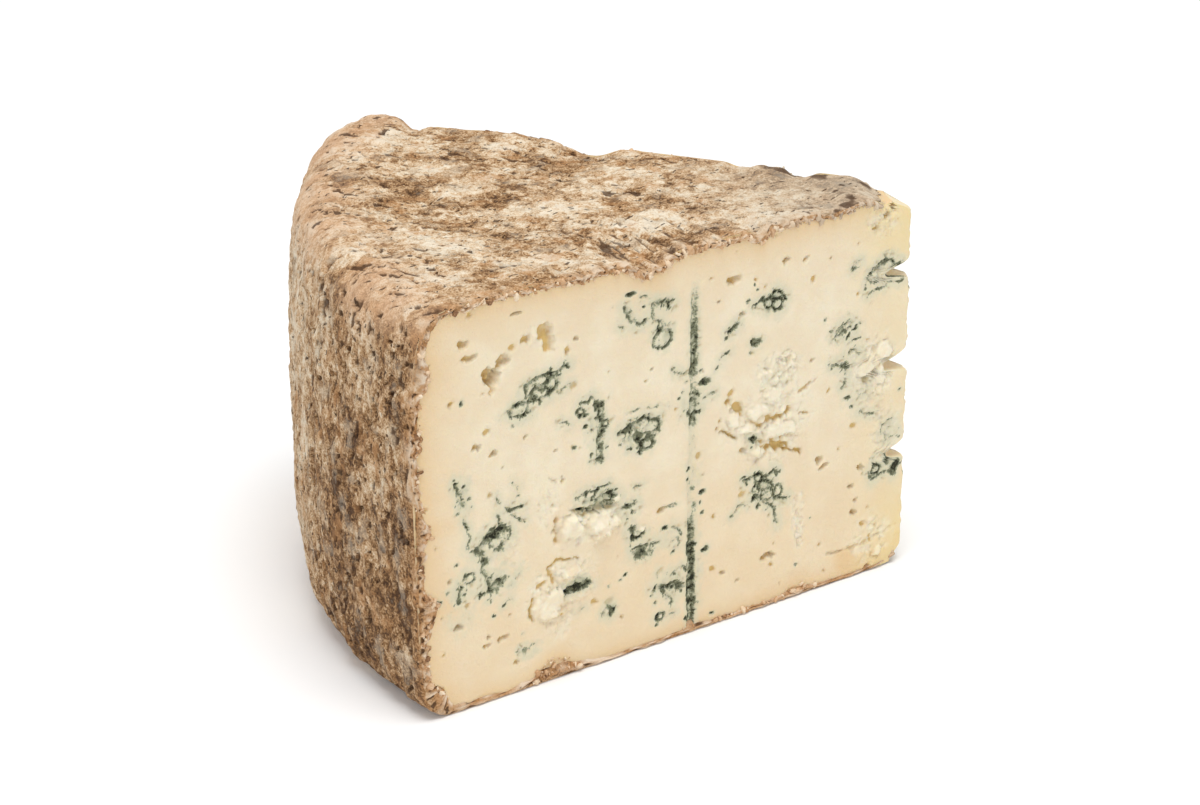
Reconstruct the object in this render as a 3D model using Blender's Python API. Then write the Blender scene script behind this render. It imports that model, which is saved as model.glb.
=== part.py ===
"""A wedge of blue cheese, cut from a low round wheel with a natural rind.

One closed solid: two cut faces that meet in a blunt, chipped tip, the wheel's
uneven top, its rounded rim, and the flat base that the wedge rests on. Metres, +Z up.
The wedge points along +X and its rim faces -X. The origin lies on the base, in the
middle of the wedge's bounding box.

The surface is a net. Rows of points run across the base, up the rim and across the
top, each at its own distance from the wheel's axis, and the ends of these rows are
the outlines of the two cut faces.
"""
import math

import bmesh
import bpy
from mathutils import Vector

# Driving dimensions
WHEEL_RADIUS = 0.1345
WHEEL_HEIGHT = 0.0880
WEDGE_ANGLE = math.radians(60.0)
TIP_RADIUS = 0.0030          # where the blunt tip ends, from the axis of the wheel
TIP_TOP_DROP = 0.0040        # how far the top rounds down at the tip
TIP_BASE_LIFT = 0.0030       # how far the base rounds up at the tip
TIP_ROUNDING = 0.0150        # reach of both roundings, from the axis of the wheel
TOP_SINK = 0.0016            # how far the top sinks from the rim to the wheel's middle
TOP_EDGE = 0.0077            # depth of the rounding between the top and the rim
BASE_EDGE = 0.0077           # depth of the rounding between the base and the rim
RIM_BULGE = 0.0018           # how far the rim stands proud at its middle

# Low unevenness. Each ripple is two frequencies, a phase and a share of the wave.
TOP_WAVE = 0.0009
TOP_RIPPLES = (
    (48.0, 57.0, 0.8, 0.4),
    (52.0, -61.0, 1.8, 0.3),
    (105.0, -83.0, 0.7, 0.3),
)
RIM_WAVE = 0.0009
RIM_RIPPLES = (
    (7.0, 2.4, 0.6, 0.4),
    (-8.0, 3.0, 2.3, 0.3),
    (17.0, 3.1, 2.0, 0.3),
)
CUT_WAVE = 0.0004
CUT_RIPPLES = (
    (71.0, 63.0, 0.8, 0.5),
    (66.0, -58.0, 1.9, 0.5),
)

# Dips in the top: distance from the axis, bearing in degrees (the front cut face is
# at +30, the back one at -30), reach, depth
TOP_DIPS = (
    (0.117, -29.0, 0.008, 0.0018),
    (0.077, -27.0, 0.013, 0.0016),
    (0.074, 29.0, 0.008, 0.0018),
    (0.045, 28.0, 0.007, 0.0012),
    (0.100, 4.0, 0.020, 0.0012),
)

# Chips broken out of the tip's edge: level, half height, depth
TIP_CHIPS = (
    (0.0250, 0.0035, 0.0030),
    (0.0480, 0.0035, 0.0040),
    (0.0685, 0.0024, 0.0045),
)

# Channels left by the piercing needles, on a cut face: distance from the axis, half
# width, depth, lowest and highest level
FRONT_CHANNELS = (
    (0.0628, 0.0014, 0.0013, 0.000, 0.077),
    (0.0868, 0.0012, 0.0011, 0.044, 0.060),
)
BACK_CHANNELS = (
    (0.0520, 0.0014, 0.0012, 0.006, 0.070),
    (0.0980, 0.0012, 0.0012, 0.024, 0.066),
)

# Open pockets where the mould grew and where the paste crumbled, on a cut face:
# distance from the axis, level, half length, half height, depth
FRONT_POCKETS = (
    (0.1140, 0.0695, 0.0036, 0.0036, 0.0016),
    (0.1025, 0.0640, 0.0070, 0.0038, 0.0014),
    (0.0760, 0.0490, 0.0050, 0.0038, 0.0015),
    (0.0710, 0.0680, 0.0034, 0.0034, 0.0012),
    (0.0900, 0.0340, 0.0090, 0.0034, 0.0016),
    (0.0940, 0.0200, 0.0080, 0.0038, 0.0014),
    (0.1160, 0.0320, 0.0050, 0.0070, 0.0010),
    (0.0700, 0.0130, 0.0055, 0.0038, 0.0010),
    (0.0430, 0.0280, 0.0048, 0.0038, 0.0014),
    (0.0400, 0.0370, 0.0070, 0.0028, 0.0017),
    (0.0410, 0.0695, 0.0042, 0.0028, 0.0011),
    (0.0200, 0.0530, 0.0050, 0.0052, 0.0013),
)
BACK_POCKETS = (
    (0.0360, 0.0520, 0.0060, 0.0036, 0.0015),
    (0.0700, 0.0350, 0.0080, 0.0040, 0.0015),
    (0.0800, 0.0620, 0.0050, 0.0038, 0.0013),
    (0.1080, 0.0400, 0.0052, 0.0080, 0.0013),
    (0.1140, 0.0680, 0.0060, 0.0032, 0.0011),
    (0.0440, 0.0220, 0.0056, 0.0034, 0.0012),
)
POCKET_SLOPE = 1.6           # steepness of a pocket's or a chip's sides
CUT_FADE = 0.0080            # a cut face is plain at the tip and uneven from here on

# Mesh density
STATIONS = 34                # steps from the tip to the rim's rounding
LEVELS = 30                  # steps from the base to the top
SEGMENT = 0.0052             # width of a facet across the top, the base and the rim
CHANNEL_CLEARANCE = 1.6      # half widths of a channel kept free of other stations
EDGE_CLEARANCE = 0.0015      # from the last station to where the rim's rounding starts

# Finish
CHEESE_COLOUR = (0.80, 0.66, 0.45, 1.0)
CHEESE_ROUGHNESS = 0.55
SMOOTH_ANGLE = math.radians(35.0)


def clear_scene():
    for obj in list(bpy.data.objects):
        bpy.data.objects.remove(obj, do_unlink=True)


def ripple(first, second, ripples):
    """A smooth wave between -1 and 1 over two coordinates."""
    return sum(
        share * math.sin(a * first + b * second + phase) for a, b, phase, share in ripples
    )


def soft_step(value):
    """0 below zero, 1 above one, and smooth between."""
    value = min(1.0, max(0.0, value))
    return value * value * (3.0 - 2.0 * value)


def rim_radius(angle, level):
    """Radius of the rim at a level between 0 (the base) and 1 (the top)."""
    across = 2.0 * level - 1.0
    edge = TOP_EDGE if across > 0.0 else BASE_EDGE
    roundness = WHEEL_HEIGHT / edge
    fullness = math.sqrt(max(0.0, 1.0 - abs(across) ** roundness))
    lumps = RIM_WAVE * ripple(angle, level, RIM_RIPPLES) * math.sin(math.pi * level)
    return WHEEL_RADIUS - edge * (1.0 - fullness) - RIM_BULGE * across ** 2 + lumps


def tip_fall(radius):
    """0 away from the tip, rising to 1 on the wheel's axis."""
    return max(0.0, 1.0 - radius / TIP_ROUNDING) ** 2


def top_height(radius, angle):
    """Height of the top: shallow lumps, a few dips, and a rounding at the tip."""
    x = radius * math.cos(angle)
    y = radius * math.sin(angle)
    height = WHEEL_HEIGHT - TOP_SINK * (1.0 - min(1.0, radius / WHEEL_RADIUS))
    height += TOP_WAVE * (ripple(x, y, TOP_RIPPLES) - 1.0)
    for distance, bearing, reach, depth in TOP_DIPS:
        dip_x = distance * math.cos(math.radians(bearing))
        dip_y = distance * math.sin(math.radians(bearing))
        away = math.hypot(x - dip_x, y - dip_y) / reach
        height -= depth * math.exp(-away * away)
    return height - TIP_TOP_DROP * tip_fall(radius)


def base_height(radius, angle):
    """Height of the base: flat, but rounded up at the tip."""
    return TIP_BASE_LIFT * tip_fall(radius)


def cut_depth(radius, z, channels, pockets):
    """How far a cut face lies inside its plane."""
    depth = CUT_WAVE * (1.0 + ripple(radius, z, CUT_RIPPLES))
    for centre, half_width, deep, low, high in channels:
        if low <= z <= high:
            depth += deep * soft_step(1.0 - abs(radius - centre) / half_width)
    for centre, level, half_length, half_height, deep in pockets:
        reach = math.hypot((radius - centre) / half_length, (z - level) / half_height)
        depth += deep * soft_step(POCKET_SLOPE * (1.0 - reach))
    return depth * soft_step((radius - TIP_RADIUS) / CUT_FADE)


def tip_radius(z):
    """Distance of the blunt tip from the axis, with the chips broken out of its edge."""
    radius = TIP_RADIUS
    for level, half_height, depth in TIP_CHIPS:
        radius += depth * soft_step(POCKET_SLOPE * (1.0 - abs(z - level) / half_height))
    return radius


def station_radii():
    """Distances from the axis, closer together across the piercing channels."""
    last = min(rim_radius(0.0, 0.0), rim_radius(0.0, 1.0)) - EDGE_CLEARANCE
    step = (last - TIP_RADIUS) / STATIONS
    radii = [TIP_RADIUS + step * i for i in range(STATIONS + 1)]
    for centre, half_width, _deep, _low, _high in FRONT_CHANNELS + BACK_CHANNELS:
        radii = [r for r in radii if abs(r - centre) > CHANNEL_CLEARANCE * half_width]
        radii += [centre - half_width, centre, centre + half_width]
    return sorted(radii)


def rim_levels():
    """Levels up the rim from 0 to 1, closer together at its rounded edges."""
    return [0.5 - 0.5 * math.cos(math.pi * i / LEVELS) for i in range(LEVELS + 1)]


def on_cut_face(radius, side, z):
    """A point on the front (side 1) or the back (side -1) cut face."""
    channels, pockets = (
        (FRONT_CHANNELS, FRONT_POCKETS) if side > 0 else (BACK_CHANNELS, BACK_POCKETS)
    )
    half = WEDGE_ANGLE / 2.0
    outward = Vector((-math.cos(half), -side * math.sin(half), 0.0))
    inward = Vector((-math.sin(half), side * math.cos(half), 0.0))
    depth = cut_depth(radius, z, channels, pockets)
    return outward * radius + inward * depth + Vector((0.0, 0.0, z))


def row_across(bm, radius_at, height_at):
    """A row of vertices from the front cut face to the back one."""
    count = max(2, round(radius_at(0.0) * WEDGE_ANGLE / SEGMENT))
    row = []
    for i in range(count + 1):
        side = 1.0 - 2.0 * i / count
        angle = side * WEDGE_ANGLE / 2.0
        radius = radius_at(angle)
        z = height_at(radius, angle)
        if i in (0, count):
            point = on_cut_face(radius, side, z)
        else:
            point = Vector((-radius * math.cos(angle), -radius * math.sin(angle), z))
        row.append(bm.verts.new(point))
    return row


def flat_row(bm, radius, height):
    """A row across the base or the top, at one distance from the axis."""
    return row_across(bm, lambda angle: radius, height)


def rim_row(bm, level):
    """A row across the rim, at one level."""
    return row_across(
        bm,
        lambda angle: rim_radius(angle, level),
        lambda radius, angle: level * top_height(radius, angle),
    )


def stitch(bm, lower, upper):
    """Zip two rows with different numbers of vertices into triangles."""
    last_lower = len(lower) - 1
    last_upper = len(upper) - 1
    i = 0
    j = 0
    while i < last_lower or j < last_upper:
        lower_is_behind = (i + 1) * last_upper <= (j + 1) * last_lower
        if j == last_upper or (i < last_lower and lower_is_behind):
            bm.faces.new((lower[i], lower[i + 1], upper[j]))
            i += 1
        else:
            bm.faces.new((lower[i], upper[j + 1], upper[j]))
            j += 1


def stitch_all(bm, rows):
    for near, far in zip(rows, rows[1:]):
        stitch(bm, near, far)


def cut_face_columns(bm, radii, base_rows, top_rows, rim_rows, side):
    """Columns of vertices of one cut face, from the tip to the rim."""
    end = 0 if side > 0 else -1
    columns = []
    for radius, base, top in zip(radii, base_rows, top_rows):
        column = [base[end]]
        for k in range(1, LEVELS):
            z = base[end].co.z + (top[end].co.z - base[end].co.z) * k / LEVELS
            away = tip_radius(z) if radius == radii[0] else radius
            column.append(bm.verts.new(on_cut_face(away, side, z)))
        column.append(top[end])
        columns.append(column)
    columns.append([row[end] for row in rim_rows])
    return columns


def fill_columns(bm, columns):
    """Join equal columns of vertices with quads."""
    for left, right in zip(columns, columns[1:]):
        for k in range(len(left) - 1):
            bm.faces.new((left[k], right[k], right[k + 1], left[k + 1]))


def close_tip(bm, base_row, top_row, front, back):
    """Close the blunt tip between the first columns of the two cut faces."""
    rows = [base_row]
    for k in range(1, LEVELS):
        middle = (front[k].co + back[k].co) / 2.0
        rows.append([front[k], bm.verts.new(middle), back[k]])
    rows.append(top_row)
    stitch_all(bm, rows)


def build_wedge():
    bm = bmesh.new()
    radii = station_radii()
    base_rows = [flat_row(bm, radius, base_height) for radius in radii]
    rim_rows = [rim_row(bm, level) for level in rim_levels()]
    top_rows = [flat_row(bm, radius, top_height) for radius in radii]
    stitch_all(bm, base_rows + rim_rows + top_rows[::-1])

    front = cut_face_columns(bm, radii, base_rows, top_rows, rim_rows, 1)
    back = cut_face_columns(bm, radii, base_rows, top_rows, rim_rows, -1)
    fill_columns(bm, front)
    fill_columns(bm, back)
    close_tip(bm, base_rows[0], top_rows[0], front[0], back[0])

    bmesh.ops.triangulate(bm, faces=bm.faces[:])
    bmesh.ops.recalc_face_normals(bm, faces=bm.faces[:])
    return bm


def centre_on_base(bm):
    """Move the wedge so that the origin is in the middle of its box, on its base."""
    xs = [v.co.x for v in bm.verts]
    ys = [v.co.y for v in bm.verts]
    shift = Vector((-(min(xs) + max(xs)) / 2.0, -(min(ys) + max(ys)) / 2.0, 0.0))
    bmesh.ops.translate(bm, verts=bm.verts[:], vec=shift)


def cheese_material():
    material = bpy.data.materials.new("cheese")
    material.use_nodes = True
    shader = material.node_tree.nodes["Principled BSDF"]
    shader.inputs["Base Color"].default_value = CHEESE_COLOUR
    shader.inputs["Roughness"].default_value = CHEESE_ROUGHNESS
    shader.inputs["Metallic"].default_value = 0.0
    return material


def make_wedge():
    bm = build_wedge()
    centre_on_base(bm)
    mesh = bpy.data.meshes.new("cheese_wedge")
    bm.to_mesh(mesh)
    bm.free()
    mesh.shade_smooth()
    mesh.set_sharp_from_angle(angle=SMOOTH_ANGLE)
    mesh.materials.append(cheese_material())
    wedge = bpy.data.objects.new("cheese_wedge", mesh)
    bpy.context.scene.collection.objects.link(wedge)


clear_scene()
make_wedge()
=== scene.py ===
"""The looks of a wedge of blue cheese: a soft ivory paste with blue mould, and a dry brown rind.

Lengths in this script are millimetres until a mesh is made. A cut face has its own
coordinates: s is the distance from the wheel's axis and z the height above the base.
The top and the rim use the bearing round the axis, positive towards the front cut face.
"""
import math

import bmesh
import bpy
import numpy as np
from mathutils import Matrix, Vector


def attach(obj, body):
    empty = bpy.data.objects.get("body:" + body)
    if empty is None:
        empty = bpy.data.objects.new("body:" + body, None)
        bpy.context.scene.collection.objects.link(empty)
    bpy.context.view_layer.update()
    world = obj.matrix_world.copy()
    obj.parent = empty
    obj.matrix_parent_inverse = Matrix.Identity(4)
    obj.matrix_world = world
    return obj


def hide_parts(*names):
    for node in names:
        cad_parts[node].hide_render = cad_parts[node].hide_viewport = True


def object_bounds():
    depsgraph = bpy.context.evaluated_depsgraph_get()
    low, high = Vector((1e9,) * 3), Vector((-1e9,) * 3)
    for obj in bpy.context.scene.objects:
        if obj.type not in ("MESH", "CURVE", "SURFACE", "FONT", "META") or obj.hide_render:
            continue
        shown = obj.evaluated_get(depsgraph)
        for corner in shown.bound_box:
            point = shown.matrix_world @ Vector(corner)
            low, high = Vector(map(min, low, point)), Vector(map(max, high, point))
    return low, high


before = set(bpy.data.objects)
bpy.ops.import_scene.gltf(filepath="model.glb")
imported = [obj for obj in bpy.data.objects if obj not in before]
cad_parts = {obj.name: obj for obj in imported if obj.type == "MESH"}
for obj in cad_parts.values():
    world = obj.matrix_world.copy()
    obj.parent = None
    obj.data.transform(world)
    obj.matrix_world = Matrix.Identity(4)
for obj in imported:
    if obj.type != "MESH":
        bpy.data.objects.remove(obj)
CAD_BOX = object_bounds()

# ---------------------------------------------------------------- the wedge's shape
WHEEL_RADIUS = 134.5
WHEEL_HEIGHT = 88.0
HALF_ANGLE = math.radians(30.0)
TIP_RADIUS = 3.0
TIP_TOP_DROP = 4.0
TIP_BASE_LIFT = 3.0
TIP_ROUNDING = 15.0
TOP_SINK = 1.6
RIM_EDGE = 7.7
RIM_BULGE = 1.8
TOP_EDGE_REACH = 9.0
APEX_X = CAD_BOX[1].x * 1000.0 + TIP_RADIUS * math.cos(HALF_ANGLE)

# Ripples: two frequencies, a phase, a share
TOP_WAVE = 0.9
TOP_RIPPLES = ((0.048, 0.057, 0.8, 0.4), (0.052, -0.061, 1.8, 0.3), (0.105, -0.083, 0.7, 0.3))
RIM_WAVE = 0.9
RIM_RIPPLES = ((7.0, 2.4, 0.6, 0.4), (-8.0, 3.0, 2.3, 0.3), (17.0, 3.1, 2.0, 0.3))
# Dips in the top: distance from the axis, bearing, reach, depth
TOP_DIPS = (
    (117, -29, 8, 1.8), (77, -27, 13, 1.6), (74, 29, 8, 1.8), (45, 28, 7, 1.2), (100, 4, 20, 1.2),
)

# ---------------------------------------------------------------- mesh density
FRONT_COLUMNS, FRONT_ROWS = 330, 216
BACK_COLUMNS, BACK_ROWS = 168, 108
TIP_COLUMNS = 9
RIND_COLUMNS = 176
BASE_ROWS, RIM_ROWS, TOP_ROWS = 56, 170, 240

# ---------------------------------------------------------------- outlines, in mm
# An outline is a plain line with features that push it: place along it, reach, amount
FEATURE_SHARPNESS = 3
# The blunt tip: how far it stands from the wheel's axis, and its notches, by height
TIP_BLUNT = 3.1
TIP_NOTCHES = ((0, 2.0, 3.2), (26, 1.6, 5.0), (47, 1.8, 7.0), (68, 1.4, 6.8), (86, 3.2, 7.0))
# The top's outer edge above each cut face: its level, and features by distance
EDGE_LEVEL = {1: 86.2, -1: 86.5}
EDGE_FEATURES = {
    1: ((8, 5, -1.6), (25, 5, -0.8), (45, 2, -1.6), (74, 5, -2.4), (112, 18, 0.9)),
    -1: ((8, 5, -2.0), (27, 3, -1.6), (40, 3, -0.8), (76, 6, -2.3), (97, 7, 0.5), (117, 3, -2.2)),
}
# The rind's thickness where the front cut face shows it, along the top, the rim and the base
TOP_THICKNESS = 1.45
TOP_THICK_SPOTS = ((8, 5, -0.5), (45, 2, 0.4), (74, 4, 0.2))
RIM_THICKNESS = 1.9
RIM_THICK_SPOTS = ((3, 4, 3.0), (24, 3, 3.0), (41, 2, 2.4), (74, 4, 2.2), (85, 3, 2.0))
BASE_THICKNESS = 0.7
BASE_THICK_SPOTS = ((3, 3, 2.2), (33, 4, 1.3), (61, 4, 0.8), (99, 5, 3.6), (117, 4, 0.8), (134, 3, 4.0))


def mm(*rows):
    return np.array(rows, float)


# Front cut face. Veins: width, darkness, depth, then the points they run through (s, z).
FRONT_VEINS = (
    # squiggle under the top and the ring it ends in
    (0.75, 0.9, 0.5, (80.9, 76.8), (80.3, 75.2), (79.3, 73.4), (78.0, 72.4), (76.6, 72.3), (75.2, 72.9)),
    (0.9, 1.0, 0.5, (73.3, 75.6), (71.0, 75.7), (69.0, 75.1)),
    (0.6, 0.8, 0.4, (73.9, 75.0), (73.2, 73.6), (72.6, 72.4), (71.2, 71.6), (70.5, 70.3)),
    (0.5, 0.6, 0.3, (82.4, 73.3), (81.0, 72.0)),
    (0.5, 0.5, 0.2, (76.8, 77.8), (75.4, 78.4), (74.2, 77.4)),
    # triangle
    (0.4, 0.9, 0.4, (46.5, 69.5), (44.0, 69.8), (42.2, 70.3), (40.2, 71.4)),
    (0.45, 0.8, 0.4, (41.2, 71.5), (39.0, 70.6), (38.0, 69.0), (38.4, 67.2), (39.5, 66.4)),
    (0.35, 0.7, 0.3, (43.6, 68.0), (42.0, 67.7), (41.2, 68.6)),
    # streaks right of the main channel
    (0.7, 0.9, 0.4, (53.3, 65.0), (52.2, 65.8), (50.9, 66.3)),
    (0.6, 0.7, 0.3, (60.0, 52.0), (58.6, 52.5), (57.0, 52.7)),
    (0.4, 0.7, 0.3, (62.5, 53.6), (61.0, 53.4)),
    (0.45, 0.7, 0.3, (68.0, 60.3), (67.2, 59.5), (66.0, 58.9), (64.6, 58.7)),
    (0.4, 0.6, 0.2, (55.6, 59.6), (54.0, 60.4), (52.8, 60.7)),
    (0.4, 0.5, 0.2, (57.0, 57.7), (55.4, 58.6)),
    # elongated pocket
    (0.55, 0.9, 0.5, (106.2, 65.8), (103.8, 66.8), (101.0, 67.1), (98.4, 67.3), (95.5, 68.2)),
    (0.9, 1.0, 0.9, (104.4, 64.3), (102.6, 64.8), (101.0, 65.2)),
    (0.6, 0.9, 0.5, (98.3, 66.5), (97.8, 65.0), (98.5, 63.8), (100.2, 63.0), (102.4, 62.5), (105.5, 62.6)),
    (0.55, 0.9, 0.5, (106.0, 65.8), (106.2, 63.4), (108.0, 62.9), (109.8, 62.3), (110.3, 61.6), (109.0, 60.5),
     (107.0, 59.8), (105.0, 60.0)),
    (0.5, 0.7, 0.3, (97.5, 62.6), (96.2, 63.6), (95.0, 64.1)),
    (0.4, 0.5, 0.2, (112.2, 61.4), (111.4, 61.9)),
    # second channel, arc at its head and its left side
    (0.5, 0.8, 0.4, (92.5, 59.2), (90.2, 58.8), (89.3, 60.0), (88.2, 58.6)),
    (0.5, 0.7, 0.3, (93.0, 57.6), (92.0, 58.2), (91.4, 57.0), (92.3, 56.2)),
    (0.5, 0.6, 0.3, (97.6, 56.2), (96.0, 55.8), (95.2, 54.8)),
    # lumpy pocket
    (0.8, 1.0, 0.8, (82.0, 50.0), (79.5, 50.8), (77.0, 51.0), (75.8, 51.8), (74.0, 51.2), (72.2, 50.8)),
    (0.4, 0.45, 0.2, (80.2, 53.8), (77.0, 54.2), (74.0, 53.4), (71.5, 53.5), (69.0, 52.5)),
    # right blue group
    (0.5, 0.9, 0.5, (23.8, 57.2), (22.0, 57.4), (20.2, 58.2), (18.6, 59.4), (20.0, 59.7), (22.0, 59.0),
     (23.6, 58.0)),
    (0.45, 0.6, 0.3, (20.4, 54.8), (18.4, 55.2), (16.7, 55.1)),
    (0.7, 0.9, 0.4, (24.4, 50.9), (22.4, 50.5), (20.6, 49.6), (20.0, 48.4)),
    (0.6, 0.8, 0.4, (19.6, 52.4), (17.8, 52.6), (16.4, 51.6)),
    (0.6, 0.8, 0.4, (21.8, 45.0), (20.6, 45.6), (20.0, 47.0)),
    (0.5, 0.8, 0.3, (16.2, 38.1), (14.6, 37.2), (12.6, 36.9)),
    (0.6, 0.7, 0.3, (19.2, 71.2), (18.2, 72.2), (17.2, 72.4)),
    (0.5, 0.7, 0.2, (14.8, 64.3), (13.4, 65.0), (9.4, 65.3), (8.2, 66.3), (6.2, 65.4), (4.6, 65.8)),
    (0.8, 1.0, 0.4, (12.1, 70.0), (11.0, 70.9), (9.4, 71.3), (8.0, 70.9), (7.2, 69.9), (5.6, 69.5)),
    (0.5, 0.7, 0.2, (15.4, 66.0), (14.8, 68.0), (14.4, 70.0)),
    # pocket with pale lumps, right
    (0.6, 1.0, 0.5, (48.4, 30.4), (46.6, 30.9), (45.0, 31.0), (43.5, 30.1), (42.0, 30.0), (40.9, 30.9),
     (39.8, 30.4)),
    (0.55, 1.0, 0.5, (40.4, 24.6), (38.4, 24.4), (36.8, 23.6)),
    (0.5, 0.9, 0.5, (42.6, 24.0), (41.2, 23.2), (40.2, 22.2)),
    (0.8, 0.7, 0.3, (40.0, 22.2), (39.4, 20.4), (39.2, 18.4)),
    (0.45, 0.7, 0.3, (51.8, 23.4), (49.8, 25.2), (47.8, 24.8)),
    (0.5, 0.8, 0.5, (45.8, 28.2), (46.0, 26.4), (44.6, 25.2), (43.4, 26.6)),
    # lower left group
    (0.7, 1.0, 0.5, (123.6, 49.8), (122.9, 47.3), (121.6, 44.4)),
    (0.5, 0.7, 0.3, (122.0, 41.6), (121.2, 40.0), (120.2, 37.2), (121.0, 35.4)),
    (1.5, 0.95, 0.6, (112.4, 36.9), (115.0, 36.2), (117.2, 35.0), (118.6, 33.8)),
    (0.6, 0.8, 0.4, (113.3, 40.0), (113.0, 38.0), (112.4, 36.6), (110.2, 36.9), (110.0, 35.2), (112.4, 33.2),
     (114.4, 32.8)),
    (0.6, 0.7, 0.4, (111.2, 40.9), (110.0, 40.2), (108.6, 40.4), (106.9, 40.5)),
    (0.5, 0.6, 0.3, (113.4, 44.2), (112.6, 42.4)),
    (0.5, 0.6, 0.3, (109.8, 39.2), (108.2, 38.2), (106.5, 37.3)),
    (0.9, 0.9, 0.5, (117.6, 33.4), (116.6, 31.2), (117.4, 29.4), (116.2, 28.2), (115.6, 26.4), (115.2, 24.4)),
    (0.5, 0.8, 0.3, (121.4, 29.6), (119.8, 29.0), (119.7, 27.6), (121.2, 27.4)),
    (0.5, 0.7, 0.3, (123.0, 28.2), (122.4, 26.8), (123.2, 25.6), (123.0, 23.8)),
    (0.4, 0.6, 0.2, (112.4, 20.4), (111.0, 21.3), (110.2, 21.0)),
    (0.4, 0.5, 0.2, (109.3, 46.2), (108.2, 45.0), (108.4, 43.0)),
    # lower middle
    (0.5, 0.9, 0.4, (78.8, 23.4), (76.0, 23.6), (73.6, 23.3), (71.4, 23.2)),
    (0.5, 0.7, 0.3, (68.4, 14.4), (66.6, 15.2), (65.6, 15.6), (64.6, 15.0)),
    (1.3, 1.0, 0.6, (72.4, 12.6), (70.6, 12.2), (69.0, 11.9), (67.0, 12.0), (65.6, 11.0)),
    (0.6, 0.8, 0.4, (69.6, 10.4), (68.2, 9.3), (68.0, 8.3)),
    (0.4, 0.6, 0.3, (71.6, 16.6), (72.2, 15.6), (71.8, 14.4)),
    (0.7, 0.7, 0.4, (68.3, 25.4), (66.8, 24.4), (66.0, 23.2)),
    (0.4, 0.6, 0.3, (68.2, 22.0), (67.2, 22.4), (66.2, 21.6), (66.8, 20.6), (68.0, 20.8)),
    (0.4, 0.6, 0.3, (72.6, 5.4), (71.4, 6.6), (70.0, 6.2), (70.4, 5.2), (69.0, 5.6), (67.4, 5.8)),
    (0.6, 0.8, 0.4, (86.4, 10.6), (85.0, 12.6), (84.2, 11.4), (84.4, 10.0)),
    (0.4, 0.5, 0.2, (93.2, 13.5), (91.4, 13.7)),
    (0.5, 0.6, 0.3, (78.4, 36.9), (76.2, 37.1)),
    # above break A
    (0.45, 0.8, 0.4, (93.0, 38.6), (90.8, 39.2), (88.6, 38.8), (86.8, 39.3), (85.4, 39.6)),
    (0.5, 0.8, 0.5, (88.8, 37.2), (86.4, 37.6), (84.2, 36.8), (82.4, 36.2)),
    (0.6, 0.9, 0.5, (81.8, 33.6), (80.0, 33.4), (77.8, 33.6)),
    (0.6, 0.9, 0.5, (79.6, 28.4), (78.6, 27.6), (79.0, 26.4), (77.8, 25.6), (76.0, 26.0)),
    # right edge, low
    (0.7, 0.8, 0.3, (11.8, 21.4), (10.2, 21.8), (8.4, 22.3), (6.2, 21.6)),
    (0.5, 0.7, 0.2, (13.2, 23.6), (12.4, 22.0), (10.4, 22.8), (9.6, 24.2)),
    (0.4, 0.6, 0.2, (9.4, 33.4), (7.6, 34.2), (5.6, 33.4)),
    (0.4, 0.6, 0.2, (8.6, 29.4), (6.6, 30.2), (4.4, 29.6)),
)
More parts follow.
